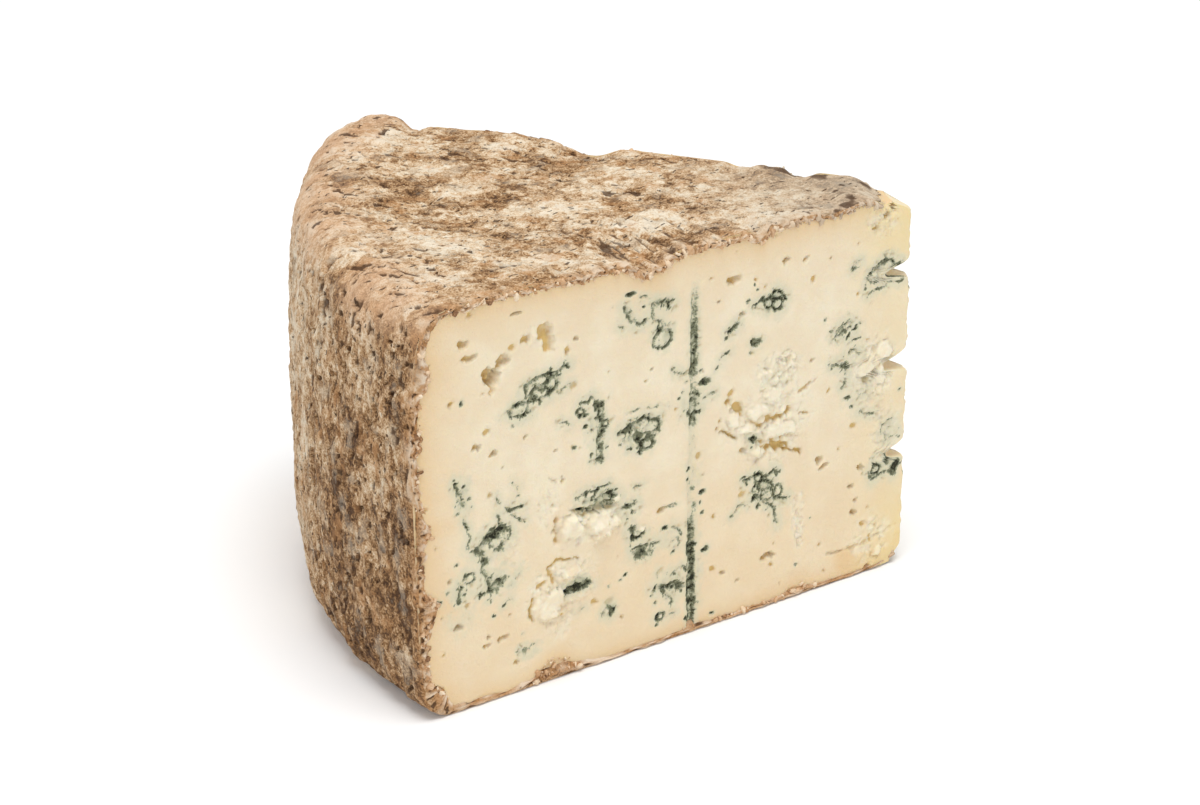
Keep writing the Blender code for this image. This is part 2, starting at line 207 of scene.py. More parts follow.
# Dark spots and blots: s, z, half length, half height, darkness, depth
FRONT_SPOTS = mm(
    (79.2, 79.3, 1.2, 0.5, 0.8, 0.6), (76.1, 75.8, 0.6, 0.4, 0.9, 0.4), (84.0, 77.6, 0.4, 0.3, 0.5, 0.2),
    (71.4, 70.2, 0.9, 0.6, 0.7, 0.3), (45.8, 61.2, 1.3, 1.0, 0.9, 0.5), (47.0, 59.3, 0.6, 0.5, 0.8, 0.4),
    (45.7, 72.6, 0.5, 0.3, 0.7, 0.3), (48.0, 70.8, 0.4, 0.5, 0.7, 0.3), (46.5, 73.8, 0.3, 0.3, 0.6, 0.2),
    (41.8, 69.8, 1.2, 0.8, 0.8, 0.4), (53.7, 64.0, 0.5, 0.3, 1.0, 0.3), (59.8, 55.8, 1.5, 0.8, 0.9, 0.5),
    (60.8, 58.5, 0.6, 0.3, 0.9, 0.4), (64.9, 56.6, 0.4, 0.3, 0.8, 0.3), (66.6, 53.8, 0.5, 0.3, 1.0, 0.4),
    (65.5, 54.7, 0.3, 0.3, 0.8, 0.3), (88.0, 57.8, 0.9, 0.8, 0.9, 0.5), (86.5, 57.2, 0.6, 0.7, 0.9, 0.4),
    (87.1, 54.3, 0.5, 0.9, 1.0, 0.6), (86.5, 51.0, 0.6, 0.7, 0.9, 0.5), (87.3, 48.3, 0.6, 0.8, 0.9, 0.5),
    (87.0, 45.5, 1.3, 0.9, 0.8, 0.4), (91.3, 56.2, 1.0, 0.5, 0.7, 0.3), (90.9, 53.6, 0.8, 0.5, 0.9, 0.4),
    (89.8, 47.4, 0.5, 0.5, 0.7, 0.3), (94.0, 49.5, 0.5, 0.4, 0.7, 0.3), (109.5, 58.7, 0.5, 0.4, 0.7, 0.3),
    (105.9, 65.9, 0.9, 0.6, 1.0, 0.5), (78.9, 50.2, 1.6, 1.0, 0.85, 0.4), (77.6, 47.8, 1.3, 1.6, 0.7, 0.5),
    (76.6, 44.9, 1.1, 0.8, 0.7, 0.4), (74.2, 47.6, 1.3, 0.7, 0.75, 0.4), (71.8, 48.3, 0.7, 0.7, 0.7, 0.3),
    (82.2, 47.4, 0.5, 0.4, 0.7, 0.3), (26.7, 61.5, 0.4, 0.4, 0.8, 0.3), (24.7, 58.6, 0.7, 0.4, 0.7, 0.3),
    (21.4, 58.3, 1.6, 0.6, 0.8, 0.4), (16.7, 58.6, 0.5, 0.4, 0.7, 0.3), (20.2, 49.1, 0.6, 0.7, 1.0, 0.4),
    (19.8, 42.5, 1.0, 0.5, 1.0, 0.4), (18.2, 40.0, 0.8, 0.6, 0.6, 0.3), (19.0, 71.2, 0.9, 0.5, 0.8, 0.3),
    (10.6, 70.6, 0.9, 0.6, 0.9, 0.3), (5.4, 68.6, 0.8, 1.4, 0.9, 0.2), (45.0, 28.6, 0.7, 0.6, 0.9, 0.6),
    (40.6, 27.6, 0.5, 1.1, 0.9, 0.6), (45.2, 25.9, 1.1, 0.6, 1.0, 0.5), (44.2, 23.6, 0.8, 0.5, 0.7, 0.4),
    (120.4, 45.6, 0.5, 0.5, 0.8, 0.3), (123.2, 48.0, 0.5, 1.2, 0.9, 0.3), (108.3, 43.0, 0.4, 0.3, 0.8, 0.3),
    (113.2, 39.8, 0.5, 0.5, 0.9, 0.3), (116.6, 31.4, 1.1, 0.7, 0.95, 0.5), (113.6, 25.2, 1.7, 1.6, 0.75, 0.4),
    (115.3, 24.4, 1.1, 0.9, 1.0, 0.5), (111.8, 26.2, 0.7, 0.8, 0.7, 0.3), (123.0, 24.0, 0.6, 0.5, 0.7, 0.3),
    (126.3, 26.6, 0.5, 0.5, 0.7, 0.3), (128.4, 25.0, 0.7, 0.6, 0.8, 0.3), (123.7, 32.2, 0.4, 0.4, 0.7, 0.3),
    (114.8, 18.7, 0.5, 0.4, 0.7, 0.3), (106.6, 8.6, 1.2, 0.6, 0.55, 0.3), (104.8, 9.4, 0.7, 0.4, 0.5, 0.2),
    (107.3, 12.6, 0.4, 0.3, 0.6, 0.2), (76.0, 21.8, 2.5, 1.5, 0.85, 0.4), (68.2, 30.0, 1.5, 0.4, 0.6, 0.3),
    (70.3, 25.9, 0.8, 0.7, 0.8, 0.4), (68.0, 19.5, 0.5, 0.5, 0.7, 0.3), (72.8, 9.0, 0.5, 0.5, 0.7, 0.3),
    (73.8, 11.0, 0.5, 0.4, 0.7, 0.3), (72.0, 4.0, 0.4, 0.3, 0.7, 0.3), (80.8, 18.3, 0.5, 0.4, 0.7, 0.3),
    (81.8, 17.4, 0.4, 0.4, 0.6, 0.3), (85.0, 16.5, 0.4, 0.3, 0.6, 0.3), (59.0, 17.8, 0.9, 0.7, 1.0, 0.5),
    (80.0, 33.2, 1.3, 0.5, 0.9, 0.4), (78.5, 31.7, 0.6, 0.5, 0.8, 0.4), (78.8, 27.8, 0.8, 0.6, 1.0, 0.5),
    # the spots at s 84 to 92 and z 35 are partly mould and partly painted shade in the cavity above the
    # broken pieces of break A
    (91.8, 35.8, 1.3, 0.6, 1.0, 1.6), (89.8, 34.9, 0.8, 0.5, 1.0, 1.5), (94.6, 18.6, 4.0, 0.9, 0.9, 0.7),
    (90.4, 18.9, 0.9, 0.5, 1.0, 0.8), (84.4, 35.0, 1.8, 0.7, 0.6, 0.6), (88.3, 28.6, 0.4, 0.3, 0.9, 0.4),
    (98.4, 19.7, 0.8, 0.5, 0.8, 0.5), (46.3, 39.4, 1.1, 0.9, 0.9, 0.4), (47.0, 37.6, 0.6, 0.5, 0.9, 0.4),
    (63.8, 37.3, 0.5, 0.4, 0.9, 0.3), (64.0, 35.2, 0.4, 0.4, 1.0, 0.3), (62.3, 32.8, 0.5, 0.6, 0.8, 0.3),
    (60.3, 31.3, 0.8, 0.4, 0.9, 0.4), (62.3, 28.3, 0.7, 1.0, 0.8, 0.3), (60.7, 28.7, 0.4, 0.5, 0.8, 0.3),
    (60.3, 26.8, 0.5, 0.4, 0.7, 0.3), (64.3, 3.3, 0.5, 0.5, 0.9, 0.4), (57.0, 2.3, 0.7, 0.4, 0.7, 0.3),
    (5.9, 22.0, 1.2, 1.5, 1.0, 0.4), (7.8, 24.6, 1.0, 1.2, 0.8, 0.3), (4.5, 40.7, 0.5, 0.4, 0.8, 0.2),
    (33.5, 7.3, 0.5, 0.5, 0.5, 0.3), (30.0, 17.0, 0.3, 0.3, 0.6, 0.2), (121.8, 66.4, 0.4, 0.5, 0.8, 0.4),
)
# Pale grey-green lumps ringed by mould: s, z, half length, half height
FRONT_LUMPS = mm(
    (70.8, 67.7, 2.2, 1.7), (39.9, 68.2, 0.9, 0.9), (42.4, 69.0, 1.0, 0.9), (102.6, 66.2, 1.6, 0.6),
    (102.4, 63.7, 1.7, 0.6), (99.8, 64.8, 0.9, 1.2), (107.8, 61.4, 1.9, 1.0), (74.6, 49.5, 2.6, 1.1),
    (75.0, 45.9, 1.3, 0.7), (43.0, 28.0, 1.1, 0.9), (42.2, 25.7, 1.2, 1.1), (44.6, 30.0, 0.8, 0.7),
    (39.0, 26.0, 0.7, 1.0), (13.2, 68.1, 1.2, 1.1), (120.4, 28.4, 0.9, 0.9), (71.2, 5.8, 0.7, 0.6),
    (10.9, 23.6, 1.0, 0.9), (92.2, 57.3, 0.6, 0.6), (86.0, 53.0, 0.5, 0.6), (113.8, 34.4, 1.2, 0.8),
)
# Soft blue-green tint: s, z, half length, half height, amount
FRONT_HALOS = mm(
    (77.0, 75.0, 6.0, 4.0, 0.35), (70.8, 68.5, 4.4, 4.0, 0.75), (41.5, 69.0, 4.6, 3.6, 0.8),
    (46.0, 60.6, 2.8, 2.4, 0.6),
    (63.0, 64.0, 3.2, 10.0, 0.35), (62.8, 52.0, 4.6, 6.0, 0.6), (62.5, 36.0, 3.4, 8.0, 0.4),
    (62.4, 13.0, 3.4, 13.0, 0.55), (87.8, 52.0, 4.6, 9.0, 0.65), (102.4, 64.4, 7.0, 4.0, 0.8),
    (107.6, 61.0, 4.2, 2.8, 0.7),
    (76.6, 48.4, 6.4, 5.4, 0.75), (20.8, 57.6, 5.6, 3.6, 0.7), (20.4, 51.0, 4.6, 5.6, 0.45),
    (16.0, 43.0, 6.0, 7.0, 0.45),
    (11.0, 68.6, 6.0, 4.4, 0.6), (42.6, 27.0, 6.0, 4.8, 0.8), (39.6, 20.0, 2.2, 3.4, 0.5),
    (46.5, 38.6, 2.2, 2.4, 0.6),
    (122.0, 46.0, 3.2, 6.0, 0.65), (115.6, 35.4, 6.4, 4.6, 0.75), (114.5, 26.0, 8.0, 5.0, 0.75),
    (123.0, 26.0, 5.0, 4.0, 0.6),
    (110.0, 41.0, 4.4, 3.4, 0.45), (106.0, 8.6, 4.0, 2.6, 0.6), (76.0, 22.0, 4.2, 3.0, 0.8),
    (68.0, 23.0, 4.0, 4.4, 0.5),
    (68.8, 12.6, 5.2, 4.4, 0.75), (71.0, 5.8, 3.2, 2.2, 0.4), (85.0, 11.6, 3.0, 2.8, 0.65),
    (87.0, 36.6, 7.0, 3.6, 0.9),
    (79.4, 32.0, 4.0, 4.4, 0.6), (78.4, 26.8, 3.0, 2.6, 0.6), (93.5, 19.4, 5.4, 2.6, 0.7),
    (8.0, 24.0, 6.4, 4.2, 0.75),
    (7.0, 32.0, 5.0, 5.0, 0.6), (59.2, 17.8, 1.8, 1.6, 0.4), (59.6, 55.6, 3.0, 2.4, 0.5),
    (123.0, 20.0, 6.0, 5.0, 0.35),
)
# Holes, with straw-coloured painted shade inside: s, z, half length, half height, depth
FRONT_HOLES = mm(
    (121.2, 78.3, 1.2, 0.8, 1.0), (120.0, 75.3, 1.8, 0.5, 0.8), (114.6, 69.6, 2.3, 2.6, 2.0),
    (112.4, 72.5, 1.9, 1.0, 1.2),
    (101.5, 76.6, 2.3, 1.5, 0.9), (100.2, 74.2, 1.2, 1.8, 0.8), (105.8, 75.8, 1.6, 1.2, 0.6),
    (108.2, 82.0, 1.1, 0.3, 0.7),
    (93.8, 72.9, 0.7, 0.4, 0.7), (124.8, 66.5, 0.4, 0.6, 0.8), (118.5, 56.0, 1.1, 0.6, 0.9),
    (114.2, 53.8, 1.2, 0.7, 0.9),
    (112.0, 50.2, 0.5, 0.4, 0.5), (123.7, 18.2, 1.3, 0.8, 1.0), (116.2, 14.4, 0.7, 0.4, 0.7),
    (116.5, 12.7, 1.1, 0.4, 0.7),
    (112.5, 13.1, 1.4, 0.5, 0.8), (109.0, 6.6, 0.6, 0.4, 0.6), (52.2, 76.2, 1.8, 0.7, 1.0),
    (38.0, 77.4, 0.9, 0.5, 0.8),
    (32.4, 76.8, 1.0, 0.5, 0.8), (51.6, 80.3, 0.4, 0.3, 0.5), (56.0, 72.5, 0.5, 0.4, 0.6),
    (27.5, 29.6, 0.9, 0.9, 1.2),
    (26.2, 27.9, 1.8, 0.5, 1.0), (12.8, 79.2, 1.3, 0.5, 0.8), (9.4, 81.2, 0.9, 0.7, 0.8),
    (42.0, 11.3, 2.1, 0.6, 1.2), (18.3, 21.4, 1.0, 0.5, 0.9), (16.0, 25.1, 0.8, 0.6, 0.8),
    (17.3, 15.0, 0.9, 0.6, 0.9), (17.0, 18.0, 0.7, 0.5, 0.7), (54.2, 11.0, 0.9, 0.4, 0.8),
    (50.5, 8.2, 0.6, 0.3, 0.6),
    (49.8, 68.4, 0.6, 0.4, 0.9), (54.0, 65.2, 0.4, 0.4, 0.5), (106.4, 55.4, 0.5, 0.4, 0.6),
    (97.0, 43.6, 0.7, 0.5, 0.6),
    (95.6, 70.6, 0.5, 0.4, 0.5), (125.7, 29.0, 0.6, 0.5, 0.7), (48.7, 37.4, 0.7, 0.6, 0.8),
    (70.6, 29.9, 1.2, 0.6, 0.8),
    (8.0, 83.5, 1.2, 1.0, 1.2), (129.8, 5.2, 2.2, 1.4, 2.0), (81.5, 8.6, 0.5, 0.3, 0.5),
    (56.4, 44.6, 0.5, 0.4, 0.5),
    (73.6, 61.8, 0.4, 0.3, 0.4), (30.2, 53.4, 0.5, 0.4, 0.5), (25.6, 75.0, 0.4, 0.3, 0.4),
    (99.0, 50.6, 0.5, 0.4, 0.4),
)
# Cracks: width, depth, amount of straw-coloured painted shade in them, points
FRONT_CRACKS = (
    (1.7, 1.7, 0.9, (93.4, 36.1), (90.6, 35.5), (88.0, 35.3), (85.4, 35.0)),
    (1.8, 1.6, 1.0, (43.6, 37.0), (41.0, 36.9), (38.6, 36.0), (36.8, 35.1)),
    (0.7, 1.0, 0.9, (36.8, 35.1), (34.8, 34.0), (33.0, 33.3)),
    (0.5, 0.8, 0.5, (46.4, 33.6), (44.0, 34.6), (42.0, 35.4)),
    (1.3, 1.2, 0.8, (52.8, 49.2), (51.0, 47.8), (49.4, 46.4)),
    (0.8, 1.1, 0.9, (55.2, 43.8), (53.2, 42.6), (51.0, 41.2)),
    (1.1, 1.3, 0.8, (44.0, 42.0), (41.4, 42.8), (38.6, 42.4), (36.2, 43.6)),
    (0.5, 0.8, 0.8, (33.6, 42.2), (32.2, 42.0), (30.8, 41.2)),
    (0.5, 0.7, 0.6, (33.4, 47.0), (31.0, 48.0), (29.2, 48.8)),
    (0.5, 0.7, 0.6, (48.0, 45.6), (46.4, 43.4), (44.6, 42.4)),
    (0.5, 0.8, 0.9, (101.0, 25.2), (98.2, 26.3), (96.4, 25.9), (93.2, 25.2)),
    (0.5, 0.8, 0.7, (101.0, 25.0), (99.6, 22.6), (99.4, 20.4)),
    (0.6, 1.0, 1.0, (105.0, 19.6), (105.3, 17.2), (104.8, 14.6)),
    (0.5, 0.7, 0.8, (103.8, 21.5), (101.5, 22.4)),
    (1.2, 1.2, 0.7, (98.6, 35.4), (98.9, 33.0), (98.2, 30.6)),
    (0.5, 0.6, 0.4, (24.2, 7.2), (19.0, 6.7), (13.0, 7.4), (8.2, 8.2), (4.4, 9.2)),
    (0.6, 0.8, 0.9, (11.9, 8.4), (12.1, 5.8), (11.8, 3.0)),
    (0.5, 0.6, 0.5, (13.8, 12.2), (12.4, 11.0), (10.4, 10.2)),
    (0.35, 0.5, 0.3, (33.6, 20.0), (33.2, 17.0), (33.8, 14.0), (33.2, 11.6)),
    (0.35, 0.5, 0.4, (100.6, 45.4), (98.4, 44.2), (96.8, 44.6)),
)
# Pieces that stand proud where the paste broke: s, z, half length, half height, height
FRONT_PLATEAUS = mm(
    (94.9, 32.6, 2.6, 2.7, 1.6), (86.9, 31.3, 4.4, 2.6, 1.5), (94.7, 22.7, 2.4, 1.0, 1.2),
    (100.6, 17.2, 4.3, 3.0, 0.9),
    (76.5, 27.5, 0.9, 0.8, 0.6), (83.2, 35.9, 0.9, 0.7, 0.6), (48.2, 42.4, 1.6, 1.0, 0.9),
    (45.2, 36.4, 1.4, 0.9, 0.8),
    (45.4, 45.4, 2.6, 2.0, 0.8), (51.8, 45.2, 2.0, 1.6, 0.7), (40.6, 40.0, 2.8, 1.8, 0.7),
    (36.4, 39.6, 2.0, 1.6, 0.6),
    (33.0, 22.8, 0.9, 0.8, 0.5), (32.5, 20.8, 0.8, 0.7, 0.5), (40.6, 48.4, 2.4, 1.6, 0.6),
    (14.6, 47.6, 2.0, 2.4, 0.6),
    (10.6, 45.6, 2.2, 2.2, 0.7), (10.0, 51.0, 2.2, 2.0, 0.6), (10.0, 4.2, 1.0, 1.6, 0.6),
)
# Crumbly paste: s, z, half length, half height, amount
FRONT_CRUMBLE = mm(
    (39.5, 53.5, 7.0, 4.5, 1.0), (42.0, 43.0, 13.0, 7.0, 0.8), (42.0, 36.5, 9.0, 4.0, 0.7),
    (90.0, 33.0, 10.0, 6.0, 0.8),
    (98.0, 20.0, 10.0, 7.0, 0.8), (33.4, 17.0, 2.2, 8.0, 0.7), (12.0, 47.0, 7.0, 9.0, 0.8),
    (8.0, 31.0, 5.0, 8.0, 0.7),
    (12.0, 8.0, 7.0, 6.0, 0.6), (101.0, 39.0, 3.4, 5.0, 0.5), (103.0, 75.6, 5.0, 3.4, 0.35),
    (77.0, 48.0, 5.0, 4.0, 0.5),
    (42.5, 27.0, 5.0, 4.0, 0.5), (9.0, 68.0, 6.0, 4.0, 0.4), (10.5, 80.0, 6.0, 4.0, 0.6),
    (98.0, 12.5, 4.0, 5.0, 0.5), (113.0, 31.0, 6.0, 8.0, 0.35),
)
# Piercing channels: s, half width, depth, then the darkness at heights up the channel
FRONT_CHANNELS = (
    (62.7, 1.02, 0.75, (0, 1.0), (2.4, 1.0), (25, 0.95), (26.6, 0.5), (27.6, 0.15), (46, 0.18), (47.6, 0.95),
     (52.4, 0.95), (53.4, 0.35), (57.2, 0.35), (58.4, 0.9), (68.8, 0.95), (70.4, 0.5), (76.6, 0.3),
     (77.6, 0)),
    (87.2, 1.05, 0.6, (44.2, 0), (45, 0.6), (48, 0.5), (50.6, 0.65), (53, 0.45), (57.6, 0.65), (58.8, 0)),
)


# ---------------------------------------------------------------- noise
def hashed(ix, iy, seed):
    """A number between 0 and 1 for every cell of a square lattice."""
    h = (ix.astype(np.int64) * 374761393 + iy.astype(np.int64) * 668265263 + seed * 362437) & 0xFFFFFFFF
    h = ((h ^ (h >> 13)) * 1274126177) & 0xFFFFFFFF
    h = ((h ^ (h >> 15)) * 2246822519) & 0xFFFFFFFF
    return ((h ^ (h >> 16)) & 0xFFFFFF) / float(0xFFFFFF)


def noise(x, y, seed):
    """Smooth noise between -1 and 1 with cells of size 1."""
    ix, iy = np.floor(x), np.floor(y)
    fx, fy = x - ix, y - iy
    fx, fy = fx * fx * (3 - 2 * fx), fy * fy * (3 - 2 * fy)
    low = hashed(ix, iy, seed) * (1 - fx) + hashed(ix + 1, iy, seed) * fx
    high = hashed(ix, iy + 1, seed) * (1 - fx) + hashed(ix + 1, iy + 1, seed) * fx
    return 2 * (low * (1 - fy) + high * fy) - 1


def fractal(x, y, seed, octaves=4, gain=0.5):
    total, share, size = 0.0, 1.0, 0.0
    for k in range(octaves):
        turned = (x * 0.8 - y * 0.6, x * 0.6 + y * 0.8) if k % 2 else (x, y)
        total = total + share * noise(turned[0] * 2 ** k + 17.3 * k, turned[1] * 2 ** k, seed + k)
        size += share
        share *= gain
    return total / size


def worley(x, y, seed):
    """Distances to the nearest and the second nearest of scattered points, and the nearest one's number."""
    ix, iy = np.floor(x), np.floor(y)
    first, second = np.full(x.shape, 9.0), np.full(x.shape, 9.0)
    number = np.zeros(x.shape)
    for dx in (-1, 0, 1):
        for dy in (-1, 0, 1):
            cx, cy = ix + dx, iy + dy
            away = np.hypot(cx + hashed(cx, cy, seed) - x, cy + hashed(cx, cy, seed + 7) - y)
            nearer = away < first
            second = np.where(nearer, first, np.minimum(second, away))
            number = np.where(nearer, hashed(cx, cy, seed + 13), number)
            first = np.where(nearer, away, first)
    return first, second, number


def smooth(value, low=0.0, high=1.0):
    """0 below low, 1 above high, and smooth between."""
    t = np.clip((value - low) / (high - low), 0.0, 1.0)
    return t * t * (3 - 2 * t)


def along(table, value):
    """The second column of a table at a value of its first column."""
    rows = np.array(table, float)
    return np.interp(value, rows[:, 0], rows[:, 1])


def pushed(place, features):
    """How far an outline is pushed at a place along it."""
    return sum(amount * np.exp(-np.abs((place - centre) / reach) ** FEATURE_SHARPNESS)
               for centre, reach, amount in features)


# ---------------------------------------------------------------- the wheel's surface
def ripple(first, second, ripples):
    return sum(share * np.sin(a * first + b * second + phase) for a, b, phase, share in ripples)


def top_plain(radius, angle):
    """The top's height without its dips, where the cut edges are measured from."""
    x, y = radius * np.cos(angle), radius * np.sin(angle)
    height = WHEEL_HEIGHT - TOP_SINK * (1 - np.minimum(1.0, radius / WHEEL_RADIUS))
    height = height + TOP_WAVE * (ripple(x, y, TOP_RIPPLES) - 1.0)
    for distance, bearing, reach, depth in TOP_DIPS:
        b = math.radians(bearing)
        away = np.hypot(x - distance * math.cos(b), y - distance * math.sin(b)) / reach
        height = height - depth * np.exp(-away * away)
    return height - TIP_TOP_DROP * np.maximum(0.0, 1 - radius / TIP_ROUNDING) ** 2


def top_height(radius, angle):
    height = top_plain(radius, angle)
    for side in (1, -1):
        beside = radius * np.sin(np.abs(HALF_ANGLE - side * angle))
        nearness = np.exp(-((beside / TOP_EDGE_REACH) ** 2))
        edge = EDGE_LEVEL[side] + pushed(radius, EDGE_FEATURES[side])
        height = height + nearness * (edge - top_plain(radius, side * HALF_ANGLE))
    return height


def rim_radius(angle, level):
    across = 2 * level - 1
    fullness = np.sqrt(np.maximum(0.0, 1 - np.abs(across) ** (WHEEL_HEIGHT / RIM_EDGE)))
    lumps = RIM_WAVE * ripple(angle, level, RIM_RIPPLES) * np.sin(math.pi * level)
    return WHEEL_RADIUS - RIM_EDGE * (1 - fullness) - RIM_BULGE * across ** 2 + lumps


def below_top(s):
    """Height of the rind's lower edge along the top of the front cut face."""
    return top_height(s, HALF_ANGLE) - TOP_THICKNESS - pushed(s, TOP_THICK_SPOTS)


def inside_rim(z):
    """Distance of the rind's inner edge along the rim end of the front cut face."""
    outside = rim_radius(HALF_ANGLE, np.clip(z / WHEEL_HEIGHT, 0, 1))
    return outside - RIM_THICKNESS - pushed(z, RIM_THICK_SPOTS)


def above_base(s):
    """Height of the rind's upper edge along the bottom of a cut face."""
    return BASE_THICKNESS + pushed(s, BASE_THICK_SPOTS)


def on_wheel(radius, angle, z):
    return np.stack([-radius * np.cos(angle), -radius * np.sin(angle), z], -1)


def cut_axes(side):
    outward = np.array([-math.cos(HALF_ANGLE), -side * math.sin(HALF_ANGLE), 0.0])
    inward = np.array([-math.sin(HALF_ANGLE), side * math.cos(HALF_ANGLE), 0.0])
    return outward, inward


def on_cut(s, z, depth, side):
    outward, inward = cut_axes(side)
    return s[..., None] * outward + depth[..., None] * inward + z[..., None] * np.array([0, 0, 1.0])


# ---------------------------------------------------------------- a net of points made into a mesh
class Net:
    """Gathers points, faces and their places in the baked picture, then makes one mesh."""

    def __init__(self):
        self.points, self.values, self.faces, self.places = [], {}, [], []
        self.count = 0

    def add(self, points, **values):
        """Adds a grid of points with their values; returns their numbers as a grid."""
        flat = points.reshape(-1, 3)
        for name, value in values.items():
            full = np.broadcast_to(value, points.shape[:-1]).reshape(-1)
            self.values.setdefault(name, []).append((self.count, full))
        numbers = np.arange(self.count, self.count + len(flat)).reshape(points.shape[:-1])
        self.points.append(flat)
        self.count += len(flat)
        return numbers

    def grid(self, numbers, corner, size, flip=False):
        """Joins a grid of points with quads, laid out in a rectangle of the picture."""
        rows, cols = numbers.shape
        v, u = np.meshgrid(np.linspace(0, 1, rows), np.linspace(0, 1, cols), indexing="ij")
        place = np.stack([corner[0] + u * size[0], corner[1] + v * size[1]], -1)
        around = ((slice(0, -1), slice(0, -1)), (slice(0, -1), slice(1, None)),
                  (slice(1, None), slice(1, None)), (slice(1, None), slice(0, -1)))
        if flip:
            around = around[::-1]
        self.faces.append(np.stack([numbers[a] for a in around], -1).reshape(-1, 4))
        self.places.append(np.stack([place[a] for a in around], -2).reshape(-1, 4, 2))

    def zip(self, near, far, corner, size, flip=False):
        """Joins two chains of any length with triangles."""
        i, j, last_i, last_j = 0, 0, len(near) - 1, len(far) - 1
        faces, places = [], []

        def spot(side, k, last):
            return (corner[0] + size[0] * k / last, corner[1] + size[1] * side)

        while i < last_i or j < last_j:
            behind = (i + 1) * last_j <= (j + 1) * last_i
            if j == last_j or (i < last_i and behind):
                tri = [(near[i], spot(0, i, last_i)), (near[i + 1], spot(0, i + 1, last_i)),
                       (far[j], spot(1, j, last_j))]
                i += 1
            else:
                tri = [(near[i], spot(0, i, last_i)), (far[j + 1], spot(1, j + 1, last_j)),
                       (far[j], spot(1, j, last_j))]
                j += 1
            if flip:
                tri = tri[::-1]
            faces.append([t[0] for t in tri])
            places.append([t[1] for t in tri])
        self.faces.append(np.array(faces))
        self.places.append(np.array(places))

    def fan(self, ring, corner, size, flip=False):
        """Closes a ring of points with one face."""
        turn = np.linspace(0, 2 * math.pi, len(ring), endpoint=False)
        place = np.stack([corner[0] + size[0] * (0.5 + 0.5 * np.cos(turn)),
                          corner[1] + size[1] * (0.5 + 0.5 * np.sin(turn))], -1)
        order = slice(None, None, -1) if flip else slice(None)
        self.faces.append(np.array([ring[order]]))
        self.places.append(np.array([place[order]]))

    def mesh(self, name):
        points = np.concatenate(self.points) * 0.001
        points[:, 0] += APEX_X * 0.001
        mesh = bpy.data.meshes.new(name)
        loops = np.concatenate([f.reshape(-1) for f in self.faces])
        totals = np.concatenate([np.full(len(f), f.shape[1]) for f in self.faces])
        mesh.vertices.add(len(points))
        mesh.vertices.foreach_set("co", points.astype(np.float32).reshape(-1))
        mesh.loops.add(len(loops))
        mesh.loops.foreach_set("vertex_index", loops.astype(np.int32))
        mesh.polygons.add(len(totals))
        mesh.polygons.foreach_set("loop_start", (np.cumsum(totals) - totals).astype(np.int32))
        mesh.update(calc_edges=True)
        layer = mesh.uv_layers.new(name="OFBake")
        layer.data.foreach_set("uv", np.concatenate([p.reshape(-1) for p in self.places]).astype(np.float32))
        for value_name, parts in self.values.items():
            full = np.zeros(len(points), np.float32)
            for start, part in parts:
                full[start:start + len(part)] = part
            mesh.attributes.new(value_name, "FLOAT", "POINT").data.foreach_set("value", full)
        mesh.polygons.foreach_set("use_smooth", np.ones(len(totals), bool))
        mesh.validate()
        obj = bpy.data.objects.new(name, mesh)
        bpy.context.scene.collection.objects.link(obj)
        return obj


